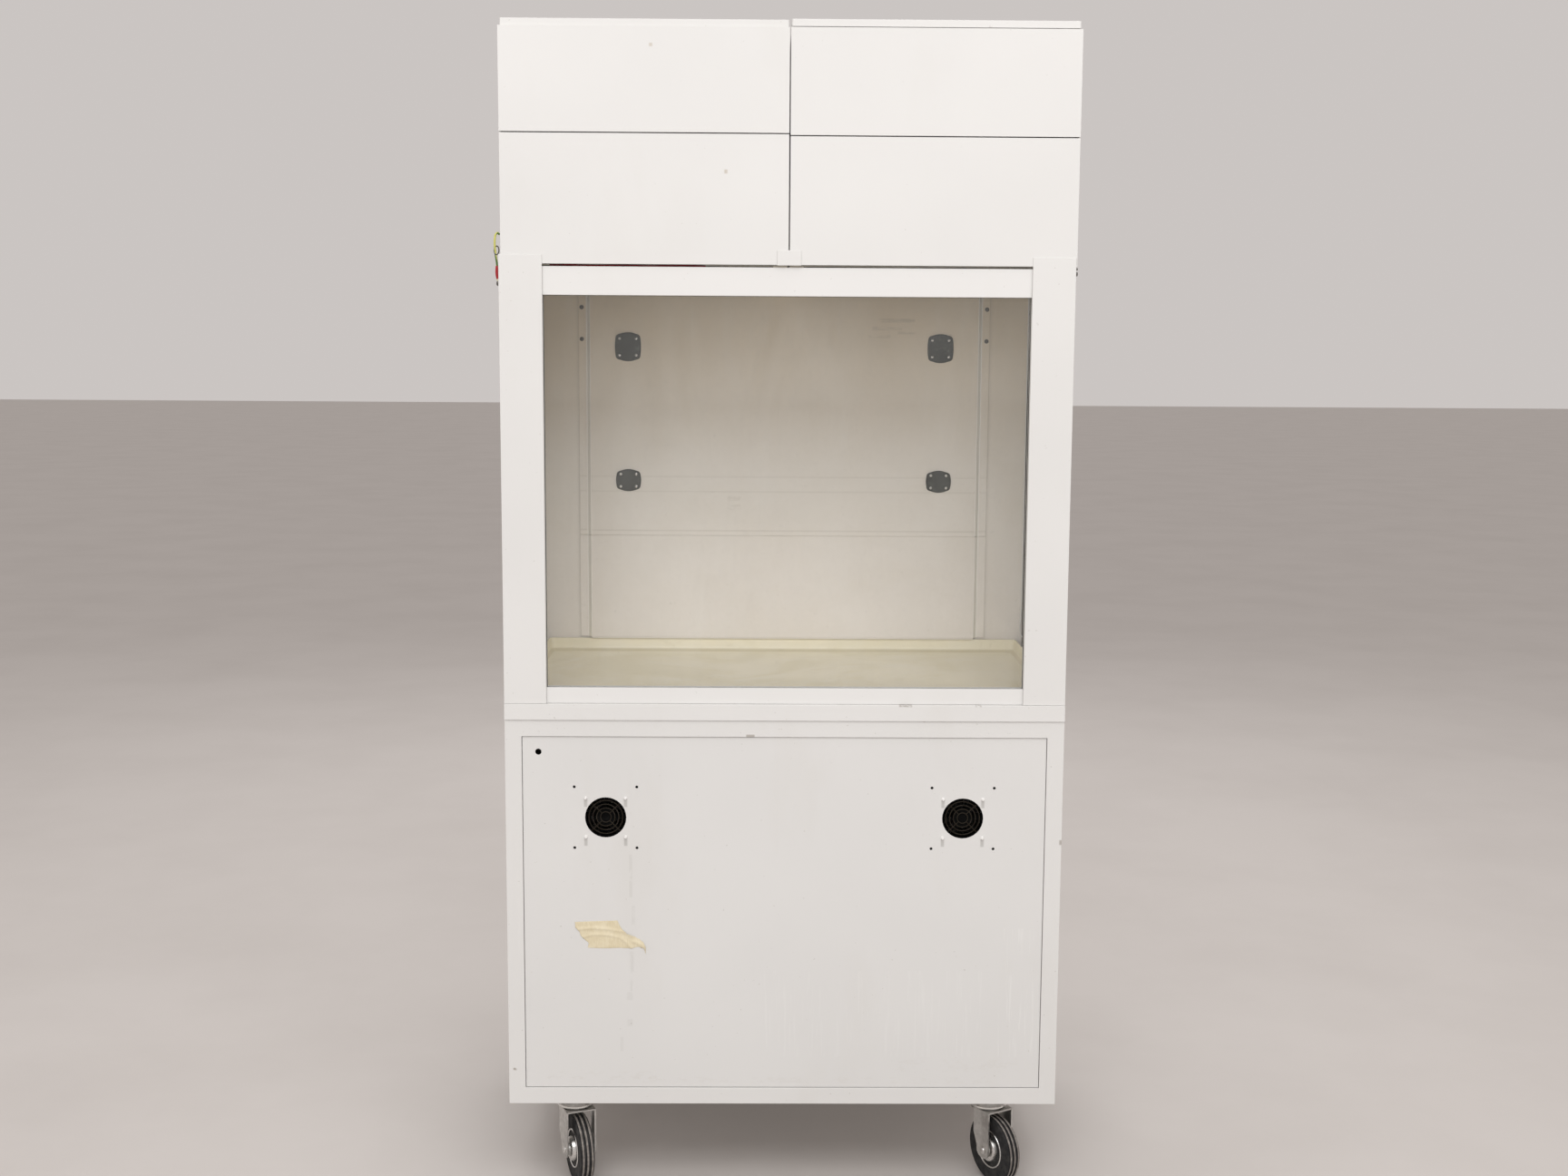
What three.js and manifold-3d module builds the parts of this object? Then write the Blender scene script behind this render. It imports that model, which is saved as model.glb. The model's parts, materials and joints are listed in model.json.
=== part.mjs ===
// A mobile recirculating fume hood, millimetres: X to the right, Y to the back, Z up from the floor.
// A base cabinet on four swivel castors carries a glazed chamber with a vertical sash, and two filter
// and blower modules stand on the chamber side by side.
import * as THREE from 'three';
import { mergeVertices } from 'three/addons/utils/BufferGeometryUtils.js';
import Module from 'manifold-3d';

const wasm = await Module();
wasm.setup();

// ---------------------------------------------------------------- driving dimensions
const HALF_WIDTH = 500;
const BACK = 325;
const FRONT = -322;                 // front plane of the base frame and the stiles
const SHEET = 2;
const THIN = 1.5;
const GAP = 0.3;                    // clearance between touching pieces

const BASE_BOTTOM = 164;
const BASE_TOP = 878.5;
const FRAME_BORDER = 30;
const PANEL_RECESS = 3;
const PANEL_GAP = 1;
const PANEL_RETURN = 14;
const SIDE_FLANGE = 22;
const FLOOR_RIM = 25;
const BACK_SLOT = { rows: 7, bottom: 304, spacing: 16, width: 90, height: 5 };
const CABLE_HOLE = { x: -440.5, z: 820, radius: 5.8 };
const FAN = { x: 321, z: 700, hole: 37, pitch: 112, cornerHole: 2.75 };
const FAN_FRAME = { size: 80, depth: 25, corner: 6, strut: 5, strutDepth: 3, disc: 17, pin: 2 };
const FAN_BLADE = { count: 7, length: 22, width: 15, thickness: 1.6, pitch: 0.62, middle: 25.5 };
const FAN_HUB = 16;

const SILL_TOP = 907.5;
const SILL_PROUD = 3;
const CHAMBER_TOP = 1680;
const CHAMBER_FRONT = -288.2;
const CHAMBER_HALF = 495;           // inner face of the side panels
const DECK_TOP = 919.5;
const TRAY = { halfWidth: 478, back: 165.5, floor: 926, top: 952, lip: 930, wall: 5 };
const BACK_WALL = { half: 490, face: 168, thickness: 3 };
const BAFFLE = { half: 412, flange: 17, face: 156, slope: 6, seam: 1163, bottom: 955 };
const PLATE = { x: 312.5, thickness: 3, bulge: 3, corner: 9 };
const UPPER_PLATE = { z: 1541, width: 49.5, height: 55 };
const LOWER_PLATE = { z: 1274.5, width: 48, height: 42 };

const STILE = { width: 75, top: 1695.8, hem: 8, hemDepth: 4.2, legFront: -291, legBack: -289 };
const TRACK = { inner: 440, outer: 491, top: 2072 };
const SIDE_SCREWS = [{ z: 1677, radius: 2.2 }, { z: 1668.5, radius: 3.6 }];
const SIDE_SCREW = { y: -305, height: 5 };
const SASH = { half: 450, front: -316, back: -294, opening: 425, bottom: 907.8, top: 1676.3 };
const BOTTOM_RAIL = 28.2;
const TOP_RAIL = 49.3;
const RAIL_LIP = 5.7;
const GLASS = { half: 440, front: -307.5, back: -302.5, aboveBottom: 8, intoTopRail: 15 };
const LUG = { front: -311, back: -299, bottom: 1582, top: 1614 };
const DRUM = { x: 472.5, y: -304, z: 2046, radius: 18, coil: 16.5, half: 7, flange: 1, pin: 3 };

const MODULE_BOTTOM = 1680.3;
const MODULE_FRONT = -288.5;
const FASCIA_FRONT = -319.7;
const MODULES = {
  left: { x0: -496.5, x1: 0.3, seam: 1902.5, fascia: 2079.8, outer: -1 },
  right: { x0: 4.7, x1: 502, seam: 1899.3, fascia: 2080.4, outer: 1 },
};
const MODULE_SEAM_X = 2.5;
const SHELL = { top: 2079.5, partition: 1901, bottomFlange: 25, topFlange: 15 };
const CAP = { height: 12.2, inset: 3, corner: 2.5, rise: 1.2, outlet: 105, screw: 5, screwSetback: 18 };
const CLIP = { width: 41.6, bottom: 1679.4, height: 26 };

const FILTER = { half: 240, setback: 8, height: 70, wall: 4, folds: 10, media: 12 };
const BLOWER = { y: 20, inlet: 95 };
const IMPELLER = { radius: 118, bottom: 1911, top: 1980, disc: 3, eye: 88, hub: 22, hubDepth: 18 };
const IMPELLER_BLADE = { count: 7, chord: 42, thickness: 2, middle: 97, lean: 0.7 };
const MOTOR = { radius: 48, height: 42, clearance: 6, shaft: 7, strapHalf: 32, strap: 3, strapDrop: 22 };

const CASTOR = { x: 385, y: 262, trail: 22.5, wheel: 62.5, kingpin: 6, axle: 4 };
const CASTOR_TURN = { front_left: 21, front_right: 30, rear_left: 9, rear_right: 20 };
const MOUNTING_PLATE = { x: 105, y: 80, thickness: 3.5, corner: 8 };
const RACE = { bottom: 141.3, rim: 35, rimTop: 146, neck: 29 };
const FORK = { bottom: 136, top: 139.2, cup: 30, legInner: 24.8, legOuter: 27.8, end: 16 };
const AXLE_BOLT = { head: 6.5, depth: 3.2 };
const FORK_FLARE = { from: -17, to: 2.5, inner: 28.5, outer: 31.5, bottom: 93 };
const WHEEL = { hubHalf: 23.5, boss: 12, disc: 22.4, discHalf: 20, web: 11, ring: 34.6, ringHalf: 13.6 };
const TYRE = { wall: 12.4, shoulder: 58, half: 13.5, rib: 8.5, ribHalf: 1.8, groove: 3 };

// ---------------------------------------------------------------- finishes
const finish = (color, roughness, metalness) => () =>
  new THREE.MeshStandardMaterial({ color, roughness, metalness });
const whitePaint = finish(0xf2f0ed, 0.45, 0.1);
const basePaint = finish(0xe3e0dc, 0.5, 0.1);
const linerPaint = finish(0xc6bfb0, 0.6, 0);
const trayPlastic = finish(0xcfc6a4, 0.55, 0);
const zinc = finish(0xb4b7ba, 0.35, 0.9);
const rubber = finish(0x1b1b1c, 0.8, 0);
const darkPlastic = finish(0x171717, 0.6, 0);
const greyPlastic = finish(0x50524c, 0.6, 0);
const springSteel = finish(0x8d9196, 0.3, 1);
const motorMetal = finish(0x9a9da0, 0.4, 0.8);
const filterMedia = finish(0x3a3a3a, 0.95, 0);
const earthWire = finish(0xb9bf2e, 0.5, 0);
const clearGlass = () => new THREE.MeshStandardMaterial({
  color: 0xe6efe9, roughness: 0.05, metalness: 0, transparent: true, opacity: 0.35,
});

// ---------------------------------------------------------------- solids
// A closed geometry as a manifold solid.
function solid(geometry) {
  const bare = geometry.index ? geometry.clone() : geometry;
  bare.deleteAttribute('normal');
  bare.deleteAttribute('uv');
  const merged = mergeVertices(bare, 1e-4);
  return new wasm.Manifold(new wasm.Mesh({
    numProp: 3,
    vertProperties: new Float32Array(merged.attributes.position.array),
    triVerts: new Uint32Array(merged.index.array),
  }));
}

// A manifold solid as a geometry.
function geometryOf(body) {
  const mesh = body.getMesh();
  const geometry = new THREE.BufferGeometry();
  geometry.setAttribute('position', new THREE.BufferAttribute(mesh.vertProperties, 3));
  geometry.setIndex(new THREE.BufferAttribute(mesh.triVerts, 1));
  geometry.computeVertexNormals();
  return geometry;
}

const join = (...solids) => solids.reduce((sum, next) => sum.add(next));
const cut = (body, ...tools) => tools.reduce((rest, tool) => rest.subtract(tool), body);

// A box between two corners.
function block(x0, x1, y0, y1, z0, z1) {
  const box = new THREE.BoxGeometry(x1 - x0, y1 - y0, z1 - z0);
  box.translate((x0 + x1) / 2, (y0 + y1) / 2, (z0 + z1) / 2);
  return solid(box);
}

// A round bar from 'from' to 'to' along an axis; centre holds the other two coordinates.
function bar(axis, radius, from, to, centre, segments = 16) {
  const cylinder = new THREE.CylinderGeometry(radius, radius, to - from, segments);
  const middle = (from + to) / 2;
  if (axis === 'x') {
    cylinder.rotateZ(Math.PI / 2).translate(middle, centre[0], centre[1]);
  } else if (axis === 'y') {
    cylinder.translate(centre[0], middle, centre[1]);
  } else {
    cylinder.rotateX(Math.PI / 2).translate(centre[0], centre[1], middle);
  }
  return solid(cylinder);
}

// An outline extruded: 'z' keeps (x, y) and rises, 'x' takes (y, z) points, 'y' takes (x, z) points.
function extrude(outline, axis, from, to, curveSegments = 8) {
  const shape = outline instanceof THREE.Shape
    ? outline
    : new THREE.Shape(outline.map(([u, v]) => new THREE.Vector2(u, v)));
  const body = new THREE.ExtrudeGeometry(shape, { depth: to - from, bevelEnabled: false, curveSegments });
  const basis = new THREE.Matrix4();
  if (axis === 'x') {
    basis.set(0, 0, 1, from, 1, 0, 0, 0, 0, 1, 0, 0, 0, 0, 0, 1);
  } else if (axis === 'y') {
    basis.set(1, 0, 0, 0, 0, 0, -1, to, 0, 1, 0, 0, 0, 0, 0, 1);
  } else {
    basis.makeTranslation(0, 0, from);
  }
  return solid(body.applyMatrix4(basis));
}

// A rectangle with rounded corners, as a shape in its own plane.
function roundedRectangle(u0, u1, v0, v1, r) {
  const shape = new THREE.Shape();
  shape.moveTo(u0 + r, v0);
  shape.lineTo(u1 - r, v0);
  shape.absarc(u1 - r, v0 + r, r, -Math.PI / 2, 0);
  shape.lineTo(u1, v1 - r);
  shape.absarc(u1 - r, v1 - r, r, 0, Math.PI / 2);
  shape.lineTo(u0 + r, v1);
  shape.absarc(u0 + r, v1 - r, r, Math.PI / 2, Math.PI);
  shape.lineTo(u0, v0 + r);
  shape.absarc(u0 + r, v0 + r, r, Math.PI, Math.PI * 1.5);
  return shape;
}

// A solid of revolution about the z axis from (radius, height) pairs that close on themselves.
function turned(profile, segments = 16) {
  const points = profile.map(([r, z]) => new THREE.Vector2(r, z));
  points.push(points[0].clone());
  return solid(new THREE.LatheGeometry(points, segments).rotateX(Math.PI / 2));
}

// Mirrors a solid across the plane x = 0 and keeps its faces pointing out.
function mirrored(body) {
  const geometry = geometryOf(body);
  geometry.scale(-1, 1, 1);
  const index = geometry.index.array;
  for (let i = 0; i < index.length; i += 3) {
    [index[i], index[i + 1]] = [index[i + 1], index[i]];
  }
  return solid(geometry);
}

const hood = new THREE.Group();

function node(name, body, material, parent = hood) {
  const mesh = new THREE.Mesh(geometryOf(body), material());
  mesh.name = name;
  parent.add(mesh);
  return mesh;
}

// The same piece on both sides; the builder gives the right-hand one.
function pair(name, rightBody, material) {
  node(`${name}_right`, rightBody, material);
  node(`${name}_left`, mirrored(rightBody), material);
}

// ---------------------------------------------------------------- base cabinet
function baseFrontFrame() {
  const inner = HALF_WIDTH - FRAME_BORDER;
  const bottom = BASE_BOTTOM + FRAME_BORDER;
  const top = BASE_TOP - FRAME_BORDER;
  const back = FRONT + 20;
  const face = block(-HALF_WIDTH, HALF_WIDTH, FRONT, FRONT + SHEET, BASE_BOTTOM, BASE_TOP);
  const collar = block(-inner - SHEET, inner + SHEET, FRONT + THIN, back, bottom - SHEET, top + SHEET);
  const opening = block(-inner, inner, FRONT - 1, back + 1, bottom, top);
  return cut(join(face, collar), opening);
}

function baseFrontPanel() {
  const half = HALF_WIDTH - FRAME_BORDER - PANEL_GAP;
  const bottom = BASE_BOTTOM + FRAME_BORDER + PANEL_GAP;
  const top = BASE_TOP - FRAME_BORDER - PANEL_GAP;
  const front = FRONT + PANEL_RECESS;
  const tray = block(-half, half, front, front + PANEL_RETURN, bottom, top);
  const hollow = block(-half + THIN, half - THIN, front + SHEET, front + PANEL_RETURN + 1,
    bottom + THIN, top - THIN);
  const through = [front - 1, front + SHEET + 1];
  const holes = [bar('y', CABLE_HOLE.radius, ...through, [CABLE_HOLE.x, CABLE_HOLE.z], 10)];
  for (const side of [-1, 1]) {
    holes.push(bar('y', FAN.hole, ...through, [side * FAN.x, FAN.z], 32));
    for (const u of [-1, 1]) {
      for (const v of [-1, 1]) {
        const centre = [side * FAN.x + u * FAN.pitch / 2, FAN.z + v * FAN.pitch / 2];
        holes.push(bar('y', FAN.cornerHole, ...through, centre, 8));
      }
    }
  }
  return cut(tray, hollow, ...holes);
}

function baseSide() {
  const front = FRONT + SHEET + GAP;
  const wall = block(HALF_WIDTH - SHEET, HALF_WIDTH, front, BACK, BASE_BOTTOM, BASE_TOP);
  const flange = block(HALF_WIDTH - SIDE_FLANGE, HALF_WIDTH - 1, front, BACK - SHEET - GAP,
    BASE_TOP - SHEET, BASE_TOP);
  return join(wall, flange);
}

function baseFloor() {
  const half = HALF_WIDTH - SHEET - GAP;
  const front = FRONT + SHEET + GAP;
  const back = BACK - SHEET - GAP;
  const rim = BASE_BOTTOM + FLOOR_RIM;
  const floor = BASE_BOTTOM + SHEET + 1;
  return extrude([
    [front, BASE_BOTTOM], [back, BASE_BOTTOM], [back, rim], [back - SHEET, rim],
    [back - SHEET, floor], [front + SHEET, floor], [front + SHEET, rim], [front, rim],
  ], 'x', -half, half);
}

function baseBackPanel() {
  const half = HALF_WIDTH - SHEET - GAP;
  const slots = [];
  for (const side of [-1, 1]) {
    for (let row = 0; row < BACK_SLOT.rows; row += 1) {
      const left = side * FAN.x - BACK_SLOT.width / 2;
      const z = BACK_SLOT.bottom + row * BACK_SLOT.spacing;
      slots.push(block(left, left + BACK_SLOT.width, BACK - SHEET - 1, BACK + 1, z, z + BACK_SLOT.height));
    }
  }
  return cut(block(-half, half, BACK - SHEET, BACK, BASE_BOTTOM, BASE_TOP), ...slots);
}

node('base_front_frame', baseFrontFrame(), basePaint);
node('base_front_panel', baseFrontPanel(), basePaint);
pair('base_side', baseSide(), basePaint);
node('base_floor', baseFloor(), basePaint);
node('base_back_panel', baseBackPanel(), basePaint);

// ---------------------------------------------------------------- vent fans behind the base panel
const FAN_FRONT = FRONT + PANEL_RECESS + SHEET + GAP;
const FAN_BACK = FAN_FRONT + FAN_FRAME.depth;

// The square fan housing, with its motor disc on four struts and the pin that the rotor turns on.
function fanFrame(x) {
  const { size, corner, strut, strutDepth, disc, pin } = FAN_FRAME;
  const half = size / 2;
  const reach = half - 1;
  const axis = [x, FAN.z];
  const body = extrude(roundedRectangle(x - half, x + half, FAN.z - half, FAN.z + half, corner),
    'y', FAN_FRONT, FAN_BACK, 3);
  const ring = cut(body, bar('y', FAN.hole + 1, FAN_FRONT - 1, FAN_BACK + 1, axis, 24));
  const strutFront = FAN_BACK - strutDepth;
  return join(
    ring,
    bar('y', disc, strutFront, FAN_BACK, axis, 16),
    bar('y', pin, FAN_FRONT + 8, strutFront + 1, axis, 8),
    block(x - reach, x + reach, strutFront, FAN_BACK, FAN.z - strut / 2, FAN.z + strut / 2),
    block(x - strut / 2, x + strut / 2, strutFront, FAN_BACK, FAN.z - reach, FAN.z + reach),
  );
}

// Pitched blades on a hub, turning about the fan's axis.
function fanRotor(x) {
  const { count, length, width, thickness, pitch, middle } = FAN_BLADE;
  const hub = bar('y', FAN_HUB, FAN_FRONT + 3, FAN_BACK - 4, [x, FAN.z], 16);
  const blades = [];
  for (let i = 0; i < count; i += 1) {
    const blade = new THREE.BoxGeometry(length, width, thickness);
    blade.rotateX(pitch).translate(middle, 0, 0).rotateY(i * 2 * Math.PI / count);
    blade.translate(x, (FAN_FRONT + FAN_BACK) / 2 - 1, FAN.z);
    blades.push(solid(blade));
  }
  const bore = bar('y', FAN_FRAME.pin + 0.4, FAN_FRONT + 6, FAN_BACK, [x, FAN.z], 8);
  return cut(join(hub, ...blades), bore);
}

for (const [side, x] of [['left', -FAN.x], ['right', FAN.x]]) {
  node(`vent_fan_frame_${side}`, fanFrame(x), darkPlastic);
  node(`vent_fan_rotor_${side}`, fanRotor(x), darkPlastic);
}

// ---------------------------------------------------------------- castors
// The bolted plate, with the race and the kingpin under it.
function castorPlate() {
  const top = BASE_BOTTOM - GAP;
  const { x, y, thickness, corner } = MOUNTING_PLATE;
  const { bottom, rim, rimTop, neck } = RACE;
  const plate = extrude(roundedRectangle(-x / 2, x / 2, -y / 2, y / 2, corner), 'z', top - thickness, top, 3);
  const raceTop = top - 3;
  const race = turned([[0, bottom], [rim - 1.5, bottom], [rim, bottom + 1.5], [rim, rimTop],
    [neck, raceTop - 2], [neck, raceTop], [0, raceTop]], 24);
  return join(plate, race, bar('z', CASTOR.kingpin, FORK.bottom - 5, bottom + 1, [0, 0], 10));
}

// One side of an outline, followed by its mirror image back across x = 0.
const bothSides = (half) => [...half, ...half.map(([x, y]) => [-x, y]).reverse()];

// The right leg: flat beside the wheel, flared outwards to the rear, round about the axle.
function forkLeg() {
  const { legInner, legOuter, end, top } = FORK;
  const { from, to, inner, outer, bottom } = FORK_FLARE;
  const toe = -CASTOR.trail - end;
  const plan = extrude([
    [legInner, toe - 1], [legOuter, toe - 1], [legOuter, from], [outer, to], [inner, to], [legInner, from],
  ], 'z', 0, top);
  const shape = new THREE.Shape();
  shape.moveTo(to, top);
  shape.lineTo(toe, top);
  shape.lineTo(toe, CASTOR.wheel);
  shape.absarc(-CASTOR.trail, CASTOR.wheel, end, Math.PI, 2 * Math.PI);
  shape.lineTo(-CASTOR.trail + end, CASTOR.wheel + 6);
  shape.lineTo(to, bottom);
  return plan.intersect(extrude(shape, 'x', 0, outer + 1, 6));
}

// The pressed fork: a crown with the swivel cup on it, two legs, and the axle bolt across them.
function castorFork() {
  const { bottom, top, cup, legOuter, end } = FORK;
  const leg = forkLeg();
  const cupTop = RACE.bottom - GAP;
  const toe = -CASTOR.trail - end;
  const { from, to, outer } = FORK_FLARE;
  const crown = bothSides([[legOuter, toe], [legOuter, from], [outer, to], [31, 12], [24, 24], [12, 31]]);
  const axis = [-CASTOR.trail, CASTOR.wheel];
  const head = bar('x', AXLE_BOLT.head, legOuter - 1, legOuter + AXLE_BOLT.depth, axis, 12);
  const fork = join(
    turned([[0, bottom], [cup, bottom], [cup, cupTop], [0, cupTop]], 20),
    extrude(crown, 'z', bottom, top),
    leg,
    mirrored(leg),
    bar('x', CASTOR.axle, -legOuter, legOuter, axis, 10),
    head,
    mirrored(head),
  );
  return cut(fork, bar('z', CASTOR.kingpin + 2 * GAP, bottom - 1, cupTop + 1, [0, 0], 10));
}

// Hub, web, bright ring and ribbed rubber tyre turned as one about the axle.
function castorWheel() {
  const { hubHalf, boss, disc, discHalf, web, ring, ringHalf } = WHEEL;
  const { wall, shoulder, half, rib, ribHalf, groove } = TYRE;
  const tread = CASTOR.wheel;
  const side = [
    [CASTOR.axle + 2 * GAP, hubHalf], [boss, hubHalf], [boss + 1, discHalf], [disc, discHalf],
    [disc + 1, web], [ring - 1.5, web], [ring, ringHalf], [ring + 2, wall], [shoulder - 6, wall],
    [shoulder, half], [tread, rib + ribHalf], [tread, rib - ribHalf],
    [tread - groove, rib - ribHalf - 1], [tread - groove, ribHalf + 1], [tread, ribHalf],
  ];
  const profile = [...side.map(([r, z]) => [r, -z]), ...side.reverse()];
  const wheel = geometryOf(turned(profile, 24)).rotateY(Math.PI / 2);
  return solid(wheel.translate(0, -CASTOR.trail, CASTOR.wheel));
}

for (const [place, turn] of Object.entries(CASTOR_TURN)) {
  const x = place.endsWith('left') ? -CASTOR.x : CASTOR.x;
  const y = place.startsWith('front') ? -CASTOR.y : CASTOR.y;
  const corner = new THREE.Group();
  corner.position.set(x, y, 0);
  hood.add(corner);
  node(`castor_plate_${place}`, castorPlate(), zinc, corner);
  const swivel = new THREE.Group();
  swivel.rotation.z = THREE.MathUtils.degToRad(turn);
  corner.add(swivel);
  node(`castor_fork_${place}`, castorFork(), zinc, swivel);
  node(`castor_wheel_${place}`, castorWheel(), rubber, swivel);
}

// ---------------------------------------------------------------- chamber
function worktopDeck() {
  const half = CHAMBER_HALF - 0.5;
  const back = BACK - 3;
  const bottom = BASE_TOP + GAP;
  const body = block(-half, half, CHAMBER_FRONT, back, bottom, DECK_TOP);
  const hollow = block(-half + SHEET, half - SHEET, CHAMBER_FRONT + SHEET, back - SHEET,
    bottom - 1, DECK_TOP - SHEET);
  return cut(body, hollow);
}

function sill() {
  const front = FRONT - SILL_PROUD;
  const back = CHAMBER_FRONT - 1.5;
  const bottom = BASE_TOP + GAP;
  const body = block(-HALF_WIDTH, HALF_WIDTH, front, back, bottom, SILL_TOP);
  const hollow = block(-HALF_WIDTH + SHEET, HALF_WIDTH - SHEET, front + SHEET, back + 1,
    bottom - 1, SILL_TOP - SHEET);
  return cut(body, hollow);
}

function spillTray() {
  const { halfWidth, back, floor, top, lip, wall } = TRAY;
  const front = CHAMBER_FRONT + 3;
  const inside = halfWidth - wall;
  const body = block(-halfWidth, halfWidth, front, back, DECK_TOP + GAP, top);
  const hollow = block(-inside, inside, front + wall, back - wall, floor, top + 1);
  const mouth = block(-inside, inside, front - 1, front + wall + 1, lip, top + 1);
  return cut(body, hollow, mouth);
}

// A hat section: edge flanges on the back wall and a raised middle.
function baffle(z0, z1) {
  const { half, flange, face, slope } = BAFFLE;
  const rear = BACK_WALL.face - GAP;
  const step = half - flange;
  return extrude([
    [-half, rear], [-half, rear - THIN], [-step, rear - THIN], [-step + slope, face],
    [step - slope, face], [step, rear - THIN], [half, rear - THIN], [half, rear],
    [step - 1, rear], [step - slope - 1, face + THIN], [-step + slope + 1, face + THIN], [-step + 1, rear],
  ], 'z', z0, z1);
}

// A small blanking plate with barrelled sides over a service hole.
function servicePlate(x, { z, width, height }) {
  const { bulge, corner, thickness } = PLATE;
  const w = width / 2;
  const h = height / 2;
  const shape = new THREE.Shape();
  shape.moveTo(x - w + corner, z - h + bulge);
  shape.quadraticCurveTo(x, z - h - bulge, x + w - corner, z - h + bulge);
  shape.quadraticCurveTo(x + w - 1, z - h + bulge + 1, x + w - 1, z - h + corner + bulge);
  shape.quadraticCurveTo(x + w + 1, z, x + w - 1, z + h - corner - bulge);
  shape.quadraticCurveTo(x + w - 1, z + h - bulge - 1, x + w - corner, z + h - bulge);
  shape.quadraticCurveTo(x, z + h + bulge, x - w + corner, z + h - bulge);
  shape.quadraticCurveTo(x - w + 1, z + h - bulge - 1, x - w + 1, z + h - corner - bulge);
  shape.quadraticCurveTo(x - w - 1, z, x - w + 1, z - h + corner + bulge);
  shape.quadraticCurveTo(x - w + 1, z - h + bulge + 1, x - w + corner, z - h + bulge);
  const back = BAFFLE.face - GAP;
  return extrude(shape, 'y', back - thickness, back, 5);
}

node('worktop_deck', worktopDeck(), whitePaint);
node('sill', sill(), whitePaint);
node('spill_tray', spillTray(), trayPlastic);
pair('chamber_side',
  block(CHAMBER_HALF, HALF_WIDTH, CHAMBER_FRONT, BACK, BASE_TOP + GAP, CHAMBER_TOP), whitePaint);
node('chamber_rear_panel',
  block(-CHAMBER_HALF + GAP, CHAMBER_HALF - GAP, BACK - 2.5, BACK - 0.5, BASE_TOP + GAP, CHAMBER_TOP),
  whitePaint);
node('back_wall', block(-BACK_WALL.half, BACK_WALL.half, BACK_WALL.face, BACK_WALL.face + BACK_WALL.thickness,
  DECK_TOP + GAP, CHAMBER_TOP), linerPaint);
node('baffle_lower', baffle(BAFFLE.bottom, BAFFLE.seam - 0.5), linerPaint);
node('baffle_upper', baffle(BAFFLE.seam + 0.5, CHAMBER_TOP - 2), linerPaint);
for (const [row, plate] of Object.entries({ upper: UPPER_PLATE, lower: LOWER_PLATE })) {
  node(`service_plate_${row}_left`, servicePlate(-PLATE.x, plate), greyPlastic);
  node(`service_plate_${row}_right`, servicePlate(PLATE.x, plate), greyPlastic);
}

// ---------------------------------------------------------------- stiles and sash
// A folded post: front plate, outer leg, and a rear leg that goes on up as the sash track and
// carries the balance drum's pin.
function frontStile() {
  const { width, top, hem, hemDepth, legFront, legBack } = STILE;
  const inner = HALF_WIDTH - width;
  const bottom = SILL_TOP + GAP;
  return join(
    block(inner, HALF_WIDTH, FRONT, FRONT + SHEET, bottom, top),
    block(HALF_WIDTH - SHEET, HALF_WIDTH, FRONT + 1, legBack, bottom, CHAMBER_TOP),
    block(TRACK.inner, HALF_WIDTH, legFront, legBack, bottom, CHAMBER_TOP),
    block(TRACK.inner, TRACK.outer, legFront, legBack, CHAMBER_TOP - 10, TRACK.top),
    block(inner, inner + hem, FRONT + 1, FRONT + hemDepth, bottom, CHAMBER_TOP - 6),
    bar('y', DRUM.pin, DRUM.y - DRUM.half - 3, legFront + 1, [DRUM.x, DRUM.z], 8),
  );
}

// The screw heads that stand out from the right stile's side near its top.
function sideScrews() {
  return SIDE_SCREWS.map(({ z, radius }) =>
    bar('x', radius, HALF_WIDTH - 1, HALF_WIDTH + SIDE_SCREW.height, [SIDE_SCREW.y, z], 10));
}

// The sash's rails are channels whose lips hold the glass.
function sashRail(z0, z1, opensUp) {
  const { front, back, half } = SASH;
  const lip = RAIL_LIP;
  const closed = opensUp ? z0 : z1;
  const open = opensUp ? z1 : z0;
  const inward = opensUp ? 1 : -1;
  const outline = [
    [front, closed], [back, closed], [back, open], [back - SHEET - lip, open],
    [back - SHEET - lip, open - inward * SHEET], [back - SHEET, open - inward * SHEET],
    [back - SHEET, closed + inward * SHEET], [front + SHEET, closed + inward * SHEET],
    [front + SHEET, open - inward * SHEET], [front + SHEET + lip, open - inward * SHEET],
    [front + SHEET + lip, open], [front, open],
  ];
  return extrude(outline, 'x', -half, half);
}

// The side rail, with the lug that the balance tape is fixed to.
function sashSideRail() {
  const { front, back, half, opening, bottom, top } = SASH;
  const lip = RAIL_LIP;
  const rail = extrude([
    [half, front], [half, back], [opening, back], [opening, back - SHEET - lip],
    [opening + SHEET, back - SHEET - lip], [opening + SHEET, back - SHEET], [half - SHEET, back - SHEET],
    [half - SHEET, front + SHEET], [opening + SHEET, front + SHEET], [opening + SHEET, front + SHEET + lip],
    [opening, front + SHEET + lip], [opening, front],
  ], 'z', bottom + BOTTOM_RAIL + GAP, top - TOP_RAIL - GAP);
  const tapeX = DRUM.x - DRUM.coil;
  return join(rail, block(half - 1, tapeX + 1, LUG.front, LUG.back, LUG.bottom, LUG.top));
}

// A flanged drum that the balance tape coils on, turning about y.
function balanceDrum() {
  const { x, y, z, radius, coil, half, flange, pin } = DRUM;
  const bore = pin + GAP;
  const inside = half - flange;
  const drum = geometryOf(turned([[bore, -half], [radius, -half], [radius, -inside], [coil, -inside],
    [coil, inside], [radius, inside], [radius, half], [bore, half]]));
  return solid(drum.rotateX(Math.PI / 2).translate(x, y, z));
}

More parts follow.
